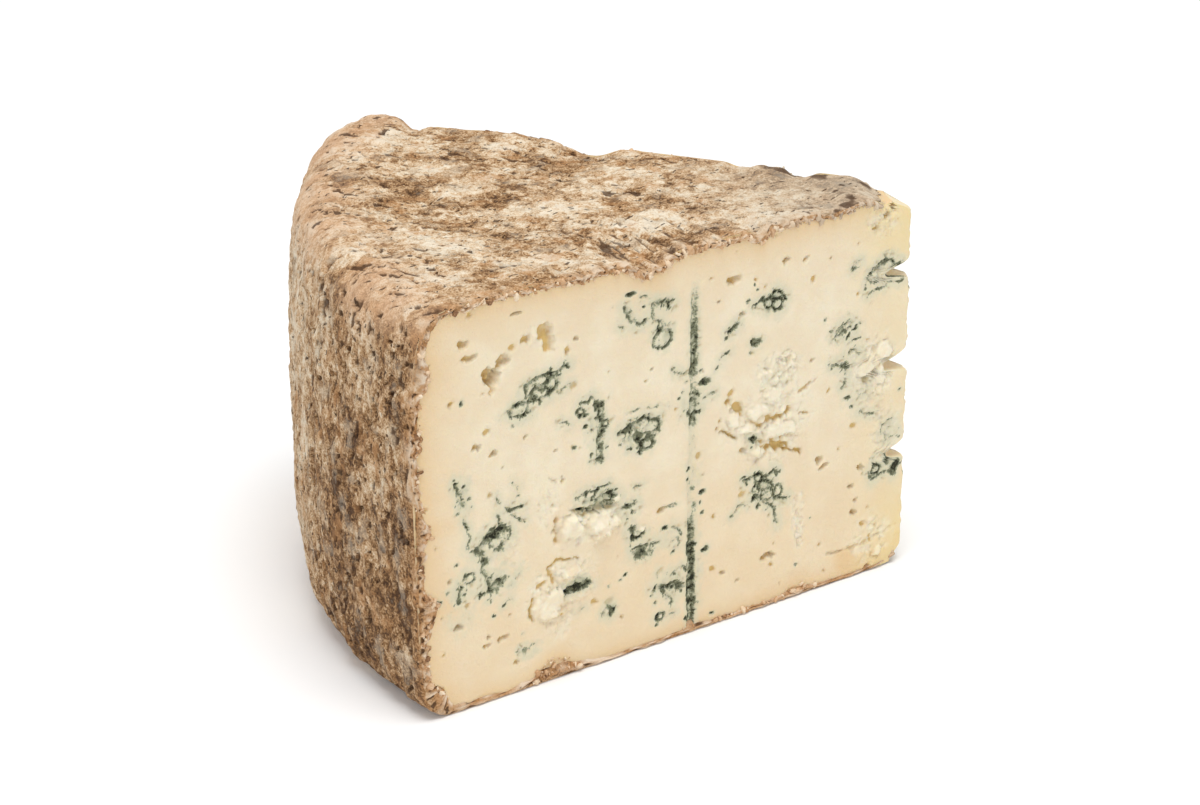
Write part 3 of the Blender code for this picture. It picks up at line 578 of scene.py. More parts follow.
# ---------------------------------------------------------------- what a cut face shows
class CutFace:
    """The depth, the stains and the painted shade of a cut face at many points."""

    def __init__(self, s, z, seed):
        self.seed = seed
        self.s0, self.z0 = s, z
        fine = 0.22 * fractal(s / 0.9, z / 0.9, seed + 3, 2)
        self.s = s + 0.45 * fractal(s / 2.6, z / 2.6, seed, 3) + fine
        self.z = z + 0.45 * fractal(s / 2.6, z / 2.6, seed + 9, 3) - fine
        self.grit = fractal(s / 1.1, z / 1.1, seed + 21, 3)
        self.patchy = fractal(s / 2.0, z / 2.0, seed + 25, 2)
        self.depth = np.zeros(s.shape)
        # the hole stain is straw-coloured painted shade in holes, cracks, pits, gaps and at the feet of
        # broken pieces
        self.stains_and_shade = {k: np.zeros(s.shape) for k in ("mould", "halo", "hole", "crumb")}

    def mark_all(self, kind, amount):
        self.stains_and_shade[kind] = np.maximum(self.stains_and_shade[kind], amount)

    def near(self, s, z, reach):
        """The points within reach of a place, as an index."""
        return np.nonzero((np.abs(self.s - s) < reach) & (np.abs(self.z - z) < reach))

    def ellipse(self, at, s, z, half_s, half_z):
        return np.hypot((self.s[at] - s) / half_s, (self.z[at] - z) / half_z)

    def put(self, kind, at, amount):
        self.stains_and_shade[kind][at] = np.maximum(self.stains_and_shade[kind][at], amount)

    def sink(self, at, amount):
        """Sinks these points to a depth, where they aren't deeper already."""
        self.depth[at] = np.maximum(self.depth[at], amount)

    def line_distance(self, at, points):
        away = np.full(self.s[at].shape, 99.0)
        for (s1, z1), (s2, z2) in zip(points, points[1:]):
            ds, dz = s2 - s1, z2 - z1
            t = np.clip(((self.s[at] - s1) * ds + (self.z[at] - z1) * dz) / (ds * ds + dz * dz), 0, 1)
            away = np.minimum(away, np.hypot(self.s[at] - s1 - t * ds, self.z[at] - z1 - t * dz))
        return away

    def around(self, points, margin):
        (s1, z1), (s2, z2) = np.min(points, 0) - margin, np.max(points, 0) + margin
        return np.nonzero((self.s > s1) & (self.s < s2) & (self.z > z1) & (self.z < z2))

    def vein(self, width, dark, depth, *points):
        at = self.around(points, width + 2.5)
        away = self.line_distance(at, points) + 0.34 * width * self.grit[at]
        broken = 0.66 + 0.75 * self.patchy[at]
        self.put("mould", at, dark * broken * smooth(-away, -width * 1.0, width * 0.1))
        self.put("halo", at, 0.70 * dark * np.exp(-(away / (width + 1.6)) ** 2))
        self.sink(at, depth * smooth(-away, -width * 0.9, -width * 0.2))

    def spot(self, s, z, half_s, half_z, dark, depth):
        at = self.near(s, z, max(half_s, half_z) * 2.5 + 1.5)
        away = self.ellipse(at, s, z, half_s, half_z) + 0.25 * self.grit[at]
        self.put("mould", at, dark * (0.8 + 0.45 * self.patchy[at]) * smooth(-away, -1.35, -0.5))
        self.put("halo", at, 0.7 * dark * np.exp(-((away / 2.0) ** 2)))
        self.sink(at, depth * smooth(-away, -1.2, -0.6))

    def lump(self, s, z, half_s, half_z):
        at = self.near(s, z, max(half_s, half_z) + 1.5)
        away = self.ellipse(at, s, z, half_s, half_z) + 0.12 * self.grit[at]
        edge = 0.45 / min(half_s, half_z)
        inside = smooth(-away, -1.0, -0.8)
        self.stains_and_shade["mould"][at] *= 1 - inside
        ringed = 0.62 + 0.65 * self.patchy[at]
        self.put("mould", at, ringed * np.exp(-((away - 1.0 - edge * 0.5) / (edge * 0.7)) ** 2))
        self.put("halo", at, 0.60 * smooth(-away, -1.3, -0.9))
        self.put("crumb", at, 0.6 * inside)
        self.sink(at, 0.45 * np.exp(-((away - 1.0 - edge * 0.5) / (edge * 0.7)) ** 2))
        dome = 0.35 - 0.55 * np.sqrt(np.clip(1 - away ** 2, 0, 1))
        self.depth[at] = self.depth[at] * (1 - inside) + inside * dome

    def haze(self, s, z, half_s, half_z, amount):
        at = self.near(s, z, max(half_s, half_z) * 1.6)
        away = self.ellipse(at, s, z, half_s, half_z) + 0.30 * self.grit[at]
        self.put("halo", at, 1.30 * amount * smooth(-away, -1.3, -0.3) * (0.70 + 0.45 * self.patchy[at]))

    def hole(self, s, z, half_s, half_z, depth):
        at = self.near(s, z, max(half_s, half_z) * 2 + 1.0)
        away = self.ellipse(at, s, z, half_s, half_z) + 0.75 * self.grit[at] + 0.35 * self.patchy[at]
        # painted shade: straw colour inside the hole, stronger on the wall farther from the tip, where the
        # shade falls
        shaded_side = 0.72 + 0.38 * np.clip((self.s[at] - s) / half_s, -1, 1)
        self.put("hole", at, smooth(-away, -1.1, -0.85) * shaded_side)
        self.sink(at, 1.5 * depth * smooth(-away, -1.04, -0.80) * (1 + 0.45 * self.grit[at]))

    def crack(self, width, depth, tint, *points):
        at = self.around(points, width + 2.0)
        away = self.line_distance(at, points) + width * (0.9 * self.grit[at] + 0.5 * self.patchy[at])
        # painted shade: straw colour in the crack
        self.put("hole", at, tint * smooth(-away, -width * 0.75, -width * 0.3))
        self.sink(at, depth * smooth(-away, -width * 0.8, -width * 0.2))

    def plateau(self, s, z, half_s, half_z, height):
        at = self.near(s, z, max(half_s, half_z) * 1.8 + 0.5)
        away = np.zeros(self.s[at].shape)
        for k in range(6):
            turn = 1.05 * k + 0.5 * math.sin(s * 3.1 + z * 1.7 + k * 2.3)
            reach = 0.86 + 0.18 * math.sin(s * 5.3 + k * 4.1)
            flat = (self.s[at] - s) / half_s * math.cos(turn) + (self.z[at] - z) / half_z * math.sin(turn)
            away = np.maximum(away, flat / reach)
        away = 0.5 * away + 0.5 * self.ellipse(at, s, z, half_s, half_z)
        away = away + 0.30 * self.grit[at] + 0.22 * self.patchy[at]
        inside = smooth(-away, -1.02, -0.88)
        lean = math.sin(s * 2.7 + z)
        slope = lean * (self.z[at] - z) / half_z + (1 - abs(lean)) * (self.s[at] - s) / half_s
        tilt = 0.35 * height * slope
        top = -0.55 * height + tilt + 0.40 * height * self.grit[at]
        self.depth[at] = self.depth[at] * (1 - inside) + inside * top
        self.stains_and_shade["mould"][at] *= 1 - 0.9 * inside
        self.stains_and_shade["halo"][at] *= 1 - 0.75 * inside
        self.stains_and_shade["hole"][at] *= 1 - inside
        self.put("crumb", at, (0.5 + 0.5 * self.patchy[at]) * inside)
        # painted shadow: a broken straw-coloured band round the lower side of each broken piece, where its
        # shadow falls
        shaded = smooth(self.patchy[at] + 0.35 * (z - self.z[at]) / half_z, 0.0, 0.5)
        shadow_foot = shaded * np.exp(-((away - 1.2) / 0.16) ** 2)
        self.depth[at] += 0.5 * shadow_foot
        self.put("hole", at, 0.35 * shadow_foot)

    def crumble(self, s, z, half_s, half_z, amount):
        at = self.near(s, z, max(half_s, half_z) * 1.5)
        away = self.ellipse(at, s, z, half_s, half_z) + 0.25 * self.grit[at]
        inside = amount * smooth(-away, -1.2, -0.5)
        first, second, number = worley(self.s[at] / 2.3, self.z[at] / 1.6, self.seed + 41)
        _near, _next, chip = worley(self.s[at] / 1.2, self.z[at] / 0.9, self.seed + 47)
        clod = (number - 0.5) * 0.9 + (chip - 0.5) * 0.5 + 0.35 * smooth(0.3 - (second - first), 0.0, 0.3)
        clod = clod + 0.3 * fractal(self.s0[at] / 0.8, self.z0[at] / 0.6, self.seed + 55, 2)
        self.depth[at] += inside * 1.1 * clod
        self.put("crumb", at, inside * (0.35 + 0.65 * smooth(number, 0.4, 0.8)))
        # painted shade: straw colour in the gaps between the clods
        gap_shade = inside * 0.30 * smooth(0.16 - (second - first), 0.0, 0.16)
        self.put("hole", at, gap_shade * smooth(self.grit[at], -0.1, 0.5))

    def channel(self, s, half_width, depth, *darkness):
        low, high = darkness[0][0] - 1, darkness[-1][0] + 1
        at = np.nonzero((np.abs(self.s0 - s) < half_width + 2.5) & (self.z0 > low) & (self.z0 < high))
        wobble = 0.16 * noise(self.z0[at] / 2.1, self.z0[at] * 0, self.seed + 61)
        lean = s + 0.35 * np.sin(self.z0[at] / 17.0) + wobble
        away = np.abs(self.s0[at] - lean) / half_width + 0.16 * self.grit[at]
        dark = along(darkness, self.z0[at])
        groove = np.sqrt(np.clip(1 - away ** 2, 0, 1))
        ends = smooth(self.z0[at], low, low + 2) * smooth(-self.z0[at], -high, -high + 4)
        streak = fractal(self.s0[at] / 0.5, self.z0[at] / 3.4, self.seed + 65, 3)
        sides = 0.50 + 0.40 * away ** 2
        grown = np.clip(dark * sides * (0.95 + 0.8 * streak), 0, 1)
        self.put("mould", at, grown * smooth(-away, -1.1, -0.75))
        self.put("halo", at, (0.25 + 0.6 * dark) * np.exp(-(away / 1.8) ** 2))
        self.sink(at, depth * groove * ends * (0.55 + 0.45 * dark))

    def speckle(self):
        """Small flecks of mould wherever the paste is tinted."""
        fleck = fractal(self.s0 / 0.9, self.z0 / 0.9, self.seed + 71, 3)
        wanted = smooth(self.stains_and_shade["halo"], 0.25, 0.8)
        dark = smooth(fleck + 0.42 * wanted, 0.52, 0.70) * wanted * (1 - self.stains_and_shade["crumb"])
        self.mark_all("mould", 0.9 * dark)
        self.depth += 0.22 * dark
        # painted shade: straw colour in small pits where the paste is tinted
        other = fractal(self.s0 / 1.2, self.z0 / 0.8, self.seed + 75, 3)
        pit = smooth(other, 0.40, 0.52) * smooth(self.stains_and_shade["halo"], 0.15, 0.5) * (1 - self.stains_and_shade["crumb"])
        self.mark_all("hole", 0.9 * pit)
        self.depth += 0.4 * pit

    def pits(self):
        """Tiny openings scattered over the plain paste, with straw-coloured painted shade in them."""
        for size, share, deep in ((4.3, 0.09, 0.4), (6.3, 0.16, 0.5)):
            first, _second, number = worley(self.s / (size * 1.25), self.z / size, self.seed + int(size * 10))
            radius = np.where(number < share, 0.05 + 0.6 * number, 0.0)
            pit = smooth(radius - first + 0.03 * self.grit, 0.0, 0.05)
            self.depth += deep * pit
            self.mark_all("hole", 0.75 * pit)


def moved(rows, ds, dz):
    """Rows of a table, moved along the face; lists of points move with them."""
    out = []
    for row in rows:
        if isinstance(row, tuple):
            head = tuple(v for v in row if not isinstance(v, tuple))
            points = tuple((p[0] + ds, p[1] + dz) for p in row if isinstance(p, tuple))
            out.append(head + points)
        else:
            out.append(tuple(row + np.array([ds, dz] + [0.0] * (len(row) - 2))))
    return out


def within(rows, box):
    """The rows of a table whose place (or first point) lies in a box s1, s2, z1, z2."""
    kept = []
    for row in rows:
        place = next((v for v in row if isinstance(v, tuple)), row) if isinstance(row, tuple) else row
        if box[0] <= place[0] <= box[1] and box[2] <= place[1] <= box[3]:
            kept.append(row)
    return kept


# The back cut face has the same kinds of marks: a box of the front's marks and how far they move
BACK_PATCHES = (
    ((68, 84, 66, 81), -30, -20), ((92, 113, 59, 69), 5, 2), ((69, 84, 43, 55), -4, -14),
    ((105, 130, 18, 50), -8, 10),
    ((36, 52, 17, 32), 0, -4), ((36, 49, 58, 74), 40, -6), ((64, 80, 3, 31), 24, -1),
    ((15, 28, 40, 60), 0, -20),
    ((4, 20, 60, 73), 8, 2),
)
BACK_CHANNELS = (
    (52.0, 1.15, 0.75, (6, 0), (7, 0.9), (22, 0.9), (24, 0.2), (36, 0.2), (38, 0.9), (58, 0.85), (62, 0.4),
    (70, 0)),
    (86.5, 1.05, 0.7, (12, 0), (13.5, 0.85), (26, 0.8), (29, 0.15), (46, 0.2), (49, 0.7), (58, 0.8), (60, 0)),
)
BACK_HOLES = mm(
    (112, 71, 2.2, 1.6, 1.4), (28, 70, 1.6, 0.7, 1.0), (86, 77, 2.0, 0.8, 1.0), (66, 62, 0.8, 0.5, 0.7),
    (122, 52, 1.4, 0.8, 1.0),
    (118, 12, 1.6, 0.6, 0.9), (36, 10, 1.4, 0.5, 0.8), (72, 8, 0.8, 0.4, 0.6), (22, 33, 1.2, 0.6, 0.9),
    (104, 20, 1.2, 0.8, 0.9),
)
BACK_PLATEAUS = mm(
    (70, 34, 4.0, 2.4, 1.0), (76, 36.5, 2.4, 1.6, 0.9), (64, 36, 1.6, 1.4, 0.7), (104, 43, 2.4, 3.0, 0.9),
    (30, 45, 2.2, 1.6, 0.8),
    (14, 26, 2.4, 2.0, 0.7), (90, 22, 2.6, 1.4, 0.8),
)
BACK_CRUMBLE = mm(
    (70, 35, 11, 6, 0.8), (104, 43, 6, 6, 0.8), (14, 28, 7, 9, 0.7), (90, 22, 7, 4, 0.7),
    (30, 45, 6, 5, 0.7), (58, 72, 6, 4, 0.4),
)
BACK_CRACKS = (
    (1.4, 1.3, 1.0, (78, 40), (75, 39.4), (72, 38.2), (69, 38.6)), (0.6, 0.8, 0.8, (108, 47), (105, 46.4),
    (102, 47.4)),
    (0.5, 0.7, 0.6, (16, 8), (12, 7.4), (6, 8.2)), (0.6, 0.8, 0.8, (92, 24.6), (89, 25), (86, 24.4)),
)


def front_marks():
    return dict(veins=FRONT_VEINS, spots=FRONT_SPOTS, lumps=FRONT_LUMPS, halos=FRONT_HALOS, holes=FRONT_HOLES,
                cracks=FRONT_CRACKS, plateaus=FRONT_PLATEAUS, crumble=FRONT_CRUMBLE, channels=FRONT_CHANNELS)


def back_marks():
    marks = dict(veins=[], spots=[], lumps=[], halos=[])
    for box, ds, dz in BACK_PATCHES:
        for kind in marks:
            marks[kind] += moved(within(front_marks()[kind], box), ds, dz)
    marks.update(holes=BACK_HOLES, cracks=BACK_CRACKS, plateaus=BACK_PLATEAUS, crumble=BACK_CRUMBLE,
                 channels=BACK_CHANNELS)
    return marks


def cut_relief(s, z, marks, seed):
    """Depth of a cut face in mm, its stains and its painted shade."""
    face = CutFace(s, z, seed)
    for row in marks["channels"]:
        face.channel(*row)
    for row in marks["veins"]:
        face.vein(*row)
    for row in marks["spots"]:
        face.spot(*row)
    for row in marks["halos"]:
        face.haze(*row)
    for row in marks["lumps"]:
        face.lump(*row)
    for row in marks["holes"]:
        face.hole(*row)
    for row in marks["crumble"]:
        face.crumble(*row)
    for row in marks["cracks"]:
        face.crack(*row)
    for row in marks["plateaus"]:
        face.plateau(*row)
    face.speckle()
    face.pits()
    waves = 0.32 * fractal(s / 16, z / 16, seed + 81, 3)
    face.depth += waves + 0.07 * fractal(s / 2.2, z / 1.7, seed + 85, 3)
    face.depth += 0.05 * (1 + 2.0 * face.stains_and_shade["halo"]) * fractal(s / 0.8, z / 0.8, seed + 88, 2)
    return face.depth, face.stains_and_shade


# ---------------------------------------------------------------- the paste
PASTE_UNDER_RIND = 0.5
# Start of each cut face's random numbers
FRONT_SEED = 100
BACK_SEED = 500
# Each cut face's place in the baked picture: corner and size
FRONT_PATCH = ((0, 0), (1.0, 0.655))
BACK_PATCH = ((0, 0.665), (0.5, 0.3275))
# How fast the tip's notches fade away from it
TIP_FADE = 8


# Height of the tip's edge, which the places of its notches are measured along
TIP_HEIGHT = 84.0


def cut_grid(columns, rows, side):
    """Where the points of a cut face are: s and z."""
    u = np.linspace(0, 1, columns + 1)[None, :]
    v = np.linspace(0, 1, rows + 1)[:, None]
    lean = 0.0 if side > 0 else 0.5
    s_tip = TIP_BLUNT + pushed(v * TIP_HEIGHT, TIP_NOTCHES) + 0.25 * noise(v * 60, v * 0 + side, 5)
    s_tip = s_tip + lean * noise(v * 9, v * 0, 6)
    s_rim = rim_radius(side * HALF_ANGLE, v) - PASTE_UNDER_RIND
    s = TIP_BLUNT + (s_rim - TIP_BLUNT) * u + (s_tip - TIP_BLUNT) * (1 - u) ** TIP_FADE
    top = top_height(np.maximum(s, 9.6), side * HALF_ANGLE) - 0.35
    low = 0.15 + 0.9 * np.clip((9 - s) / 6, 0, 1) ** 2
    z = low + (top - low) * v
    return s, z


def rind_distance(s, z, side):
    """How far a point of a cut face is inside the rind's inner edge."""
    below = below_top(s) - z
    inside = inside_rim(z) - s
    above = z - above_base(s)
    if side < 0:
        below = top_height(s, -HALF_ANGLE) - 1.7 - z
        inside = rim_radius(-HALF_ANGLE, z / WHEEL_HEIGHT) - 2.0 - s
    return below, inside, above


def paste_face(net, columns, rows, side, marks, seed, corner, size):
    s, z = cut_grid(columns, rows, side)
    depth, stains_and_shade = cut_relief(s, z, marks, seed)
    below, inside, above = rind_distance(s, z, side)
    near = np.minimum(np.minimum(below, inside), above)
    under = smooth(-near, -0.2, 0.6)
    near_tip = smooth(s, 3.5, 9.0)
    depth = depth * near_tip * (1 - under) + 0.45 * under * smooth(s, 8, 14)
    warm = np.maximum(np.exp(-np.maximum(inside, 0) / 7.0), np.exp(-np.maximum(below, 0) / 5.0))
    warm = np.maximum(warm, 0.85 * np.exp(-np.maximum(above, 0) / 5.0))
    warm = np.maximum(warm, 0.34 * smooth(-z, -52, -14))
    warm = np.maximum(warm, 0.9 * smooth(-z, -7.5, -6.5) * smooth(-s, -26, -20) * (side > 0))
    yellow = smooth(-s, -24, -4) * (0.35 + 0.65 * smooth(z, 60, 84))
    yellow = yellow + 0.5 * smooth(-s, -20, -6) * smooth(-z, -20, -8)
    deep = np.clip(depth / 1.5, 0, 1)
    numbers = net.add(on_cut(s, z, depth, side), warm=warm, yellow=yellow, deep=deep, **stains_and_shade)
    net.grid(numbers, corner, size, flip=side > 0)
    return numbers, s, z


def hidden_chain(net, s, z, side, drop):
    """A chain of points inside the wedge, under the rind, near a cut face's edge."""
    into = 5.0 * smooth(s, 9, 22)
    return net.add(on_cut(s, z + drop * smooth(s, 9, 22), into, side), warm=1.0)


def build_paste():
    net = Net()
    front, s_f, z_f = paste_face(net, FRONT_COLUMNS, FRONT_ROWS, 1, front_marks(), FRONT_SEED, *FRONT_PATCH)
    back, s_b, z_b = paste_face(net, BACK_COLUMNS, BACK_ROWS, -1, back_marks(), BACK_SEED, *BACK_PATCH)

    # the blunt tip, from the front face's first column to the back face's
    rows = FRONT_ROWS + 1
    back_s = np.interp(np.linspace(0, 1, rows), np.linspace(0, 1, BACK_ROWS + 1), s_b[:, 0])
    back_z = np.interp(np.linspace(0, 1, rows), np.linspace(0, 1, BACK_ROWS + 1), z_b[:, 0])
    start = on_cut(s_f[:, 0], z_f[:, 0], np.zeros(rows), 1)
    end = on_cut(back_s, back_z, np.zeros(rows), -1)
    t = np.linspace(0, 1, TIP_COLUMNS + 2)[1:-1]
    across = start[:, None, :] * (1 - t[None, :, None]) + end[:, None, :] * t[None, :, None]
    bulge = 0.25 * np.sin(math.pi * t)[None, :]
    along_tip = np.linspace(0, 60, rows)[:, None] + 0 * t[None, :]
    grit = fractal(along_tip, t[None, :] * 3 + np.zeros((rows, 1)), 31, 3)
    across[..., 0] += bulge + 0.55 * grit * np.sin(math.pi * t)[None, :] ** 0.5
    z_tip = across[..., 2]
    mould = smooth(fractal(z_tip / 5.0, t[None, :] * 2 + 0 * z_tip, 37, 3), 0.15, 0.5)
    mould = mould * np.maximum(smooth(-np.abs(z_tip - 68), -7, -2), smooth(-np.abs(z_tip - 25), -9, -2))
    tip = net.add(across, warm=0.2, yellow=0.45, mould=0.9 * mould, halo=0.35 * mould, crumb=0.1)
    net.grid(np.concatenate([front[:, :1], tip], 1), (0.52, 0.665), (0.05, 0.3275))
    net.zip(tip[:, -1], back[:, 0], (0.59, 0.665), (0.3275, 0.02))

    # the hidden rest: under the top, over the base and behind the rim
    ends = []
    for numbers, s, z, side in ((front, s_f, z_f, 1), (back, s_b, z_b, -1)):
        top = hidden_chain(net, s[-1], z[-1], side, -4.0)
        base = hidden_chain(net, s[0], z[0], side, 2.0)
        ends.append((numbers, top, base, side))
    spot = [0.70]

    def strip(near, far, flip):
        net.zip(near, far, (0.59, spot[0]), (0.40, 0.016), flip)
        spot[0] += 0.022

    for numbers, top, base, side in ends:
        strip(numbers[-1], top, side < 0)
        strip(numbers[0], base, side > 0)
    (front_n, front_top, front_base, _), (back_n, back_top, back_base, _) = ends
    strip(front_top, back_top, True)
    strip(front_base, back_base, False)
    rims = []
    for numbers, s, z, side, base, top in ((front_n, s_f, z_f, 1, front_base, front_top),
                                           (back_n, s_b, z_b, -1, back_base, back_top)):
        up = np.linspace(0, 1, len(s))[1:-1]
        height = z[0, -1] + 2.0 + (z[-1, -1] - z[0, -1] - 6.0) * up
        inner = net.add(on_cut(s[0, -1] + 0 * up, height, 5.0 + 0 * up, side), warm=1.0)
        rims.append(np.concatenate([base[-1:], inner, top[-1:]]))
        strip(numbers[:, -1], rims[-1], side > 0)
    strip(rims[0], rims[1], True)
    tip_top = np.concatenate([front_n[-1, :1], tip[-1], back_n[-1, :1]])
    tip_base = np.concatenate([front_n[0, :1], tip[0], back_n[0, :1]])
    strip(tip_top, np.array([front_top[0], back_top[0]]), False)
    strip(tip_base, np.array([front_base[0], back_base[0]]), True)
    return net.mesh("paste")


# ---------------------------------------------------------------- the rind
RIND_TOP_START = 9.2
RIND_BASE_START = 4.6
# Landmarks of the rind. Pits: place on the rim as bearing and height, half width, half height, depth
RIM_PITS = ((12, 84, 1.9, 1.4, 3.0), (12, 80, 1.5, 2.2, 1.6), (13, 76, 1.2, 2.6, 1.4))
# Whitish bloom. On the rim: bearing, height, half width, half height, amount
RIM_BLOOM = ((-14.0, 48.0, 9.0, 20.0, 1.0), (6.0, 50.0, 5.0, 14.0, 1.0), (14.0, 70.0, 6.0, 9.0, 0.5),
             (24.0, 46.0, 4.0, 8.0, 0.5), (-24.0, 30.0, 8.0, 16.0, 0.6), (8.0, 26.0, 9.0, 8.0, 0.3))
# On the top: distance from the axis, bearing, half length, half width, amount
TOP_BLOOM = ((112.0, 12.0, 12.0, 14.0, 0.9), (84.0, 2.0, 16.0, 5.0, 1.0), (60.0, 12.0, 14.0, 7.0, 0.7),
             (108.0, -12.0, 8.0, 9.0, 0.6), (96.0, 22.0, 12.0, 6.0, 0.7), (36.0, 5.0, 17.0, 10.0, 0.9),
             (120.0, -22.0, 9.0, 9.0, 0.9), (122.0, 24.0, 10.0, 9.0, 0.5))
# Swellings of the rim: bearing, height, half width in degrees, half height, amount
RIM_SWELLS = ((-23.0, 82.0, 8.0, 10.0, 2.8), (-8.0, 84.0, 6.0, 6.0, 0.8), (16.0, 83.0, 5.0, 5.0, 0.6))
# Directions of the top's creases and of the ribs near the front cut face, in degrees
TOP_CREASES = -24.0
TOP_RIBS = -64.0
BAND_STEPS = (0.10, 0.26, 0.44, 0.62, 0.80, 1.0)


def rim_levels():
    """Levels up the rim, evenly spaced along its curve."""
    level = 0.5 - 0.5 * np.cos(np.linspace(0, math.pi, 4001))
    radius = rim_radius(0.0, level)
    length = np.concatenate([[0], np.cumsum(np.hypot(np.diff(radius), np.diff(level * WHEEL_HEIGHT)))])
    return np.interp(np.linspace(0, length[-1], RIM_ROWS + 1), length, level)


def rind_rows():
    """Radius, height, bearing and part of the rind's outside: along the base, up the rim, in along the top.

    The part is 0 on the base, 1 on the rim and 2 on the top.
    """
    angle = np.linspace(-HALF_ANGLE, HALF_ANGLE, RIND_COLUMNS + 1)[None, :]
    levels = rim_levels()[:, None]
    rim_r = rim_radius(angle, levels)
    rim_z = levels * top_height(rim_r, angle)
    f = np.linspace(0, 1, BASE_ROWS + 1)[:-1, None]
    start = RIND_BASE_START + 0.4 * noise(angle * 9, angle * 0, 3)
    base_r = start + (rim_r[:1] - start) * f
    base_z = TIP_BASE_LIFT * np.maximum(0.0, 1 - base_r / TIP_ROUNDING) ** 2
    f = np.linspace(1, 0, TOP_ROWS + 1)[1:, None]
    start = RIND_TOP_START + 1.3 * noise(angle * 5, angle * 0, 4) + 0.5 * noise(angle * 21, angle * 0, 8)
    top_r = start + (rim_r[-1:] - start) * f
    top_z = top_height(top_r, angle)
    r = np.concatenate([base_r, rim_r, top_r])
    z = np.concatenate([base_z, rim_z, top_z])
    part = np.concatenate([np.zeros(len(base_r)), np.ones(len(rim_r)), np.full(len(top_r), 2.0)])
    return r, z, angle + np.zeros_like(r), part


def grid_normals(points):
    """Outward normals of a grid of points."""
    down = np.gradient(points, axis=0)
    across = np.gradient(points, axis=1)
    normal = np.cross(across, down)
    size = np.linalg.norm(normal, axis=-1, keepdims=True)
    return normal / np.maximum(size, 1e-9)


def top_grain(x, y, degrees):
    """Coordinates across and along creases of the top that run at an angle."""
    turn = math.radians(degrees)
    return x * math.sin(turn) - y * math.cos(turn), x * math.cos(turn) + y * math.sin(turn)


def top_relief(x, y):
    """Height of the top's skin in mm, how much of it is painted dark as shade in a crease, pit or groove, and
    how much is painted pale as a highlight on a crest.
    """
    across, run = top_grain(x, y, TOP_CREASES)
    slant, slant_run = top_grain(x, y, TOP_RIBS)
    bend = 2.2 * fractal(x / 17, y / 17, 211, 2)
    lumps = fractal(x / 9, y / 9, 215, 4)
    patch = smooth(fractal(x / 19, y / 19, 231, 3), -0.25, 0.35)
    distance, bearing = np.hypot(x, y), np.degrees(np.arctan2(y, x))
    ribbed = np.exp(-(((distance - 70) / 26) ** 2)) * smooth(bearing, 3, 13)
    ribs = fractal((across + bend) / 1.5, run / 6.0, 219, 3) * (1 - ribbed)
    ribs = ribs + ribbed * fractal((slant + 0.6 * bend) / 1.4, slant_run / 5.5, 221, 3)
    crease = smooth(fractal((across + bend) / 0.9, run / 2.6, 223, 2), 0.32, 0.50) * (0.25 + 0.75 * patch)
    slash = smooth(fractal((slant + 0.6 * bend) / 0.9, slant_run / 3.0, 227, 2), 0.28, 0.46)
    crease = crease * (1 - ribbed) + 0.65 * slash * ribbed
    first, _second, number = worley((across + bend) / 2.6, run / 3.8, 241)
    pit = smooth(np.where(number < 0.30, 0.10 + 0.45 * number, 0.0) - first, 0.0, 0.07)
    height = 0.65 * lumps + ribs * (0.25 + 0.15 * patch + 0.55 * ribbed) - 0.6 * crease - 0.8 * pit
    height = height + 0.30 * fractal(x / 2.6, y / 2.6, 247, 2) + 0.15 * fractal(x / 0.9, y / 0.9, 251, 2)
    # painted shade in the creases, pits and rib grooves, and a painted highlight on the crests
    dark = np.maximum(np.maximum(crease, pit), 0.8 * ribbed * smooth(-ribs, 0.15, 0.55))
    return height, dark, smooth(ribs * (0.4 + ribbed) + 0.5 * lumps, 0.05, 0.5)


def rim_relief(arc, z):
    """The same for the rim, whose fibres run upright."""
    bend = 2.5 * fractal(arc / 21, z / 21, 311, 2)
    lumps = fractal(arc / 8, z / 11, 315, 4)
    fibre = fractal((arc + bend) / 1.6, z / 5.0, 319, 3)
    first, _second, number = worley((arc + bend) / 2.1, z / 2.8, 341)
    pit = smooth(np.where(number < 0.42, 0.10 + 0.55 * number, 0.0) - first, 0.0, 0.08)
    crease = smooth(fractal((arc + bend) / 0.9, z / 3.6, 323, 2), 0.36, 0.64)
    height = 0.85 * lumps + 0.36 * fibre - 0.55 * crease - 0.95 * pit
    height = height + 0.16 * fractal(arc / 0.9, z / 1.1, 351, 2)
    height = height + 0.35 * fractal(arc / 2.6, z / 3.4, 355, 2)
    # painted shade in the creases and pits, and a painted highlight on the fibres and lumps that stand out
    return height, np.maximum(crease * 0.8, pit), smooth(fibre + 0.5 * lumps, 0.05, 0.6)


def rind_thickness(r, z, part, side):
    """Thickness of the rind where a cut face shows it."""
    if side > 0:
        top = top_height(r, HALF_ANGLE) - below_top(r)
        rim = r - inside_rim(z)
        base = above_base(r)
    else:
        top = 1.5 + 0.6 * fractal(r / 9, r * 0, 61, 2)
        rim = 2.2 + 0.9 * fractal(z / 9, z * 0, 62, 2)
        base = 1.0 + 0.9 * fractal(r / 9, r * 0, 63, 2)
    thick = np.where(part == 2, top, np.where(part == 1, rim, base))
    thick = np.convolve(np.pad(thick, 4, mode="edge"), np.ones(9) / 9, mode="valid")
    ragged = 0.5 * fractal(r / 1.6 + z / 1.6, z / 5 + part, 71 + side, 3)
    return np.clip(thick - 0.25 + ragged, 0.35, 6.0)


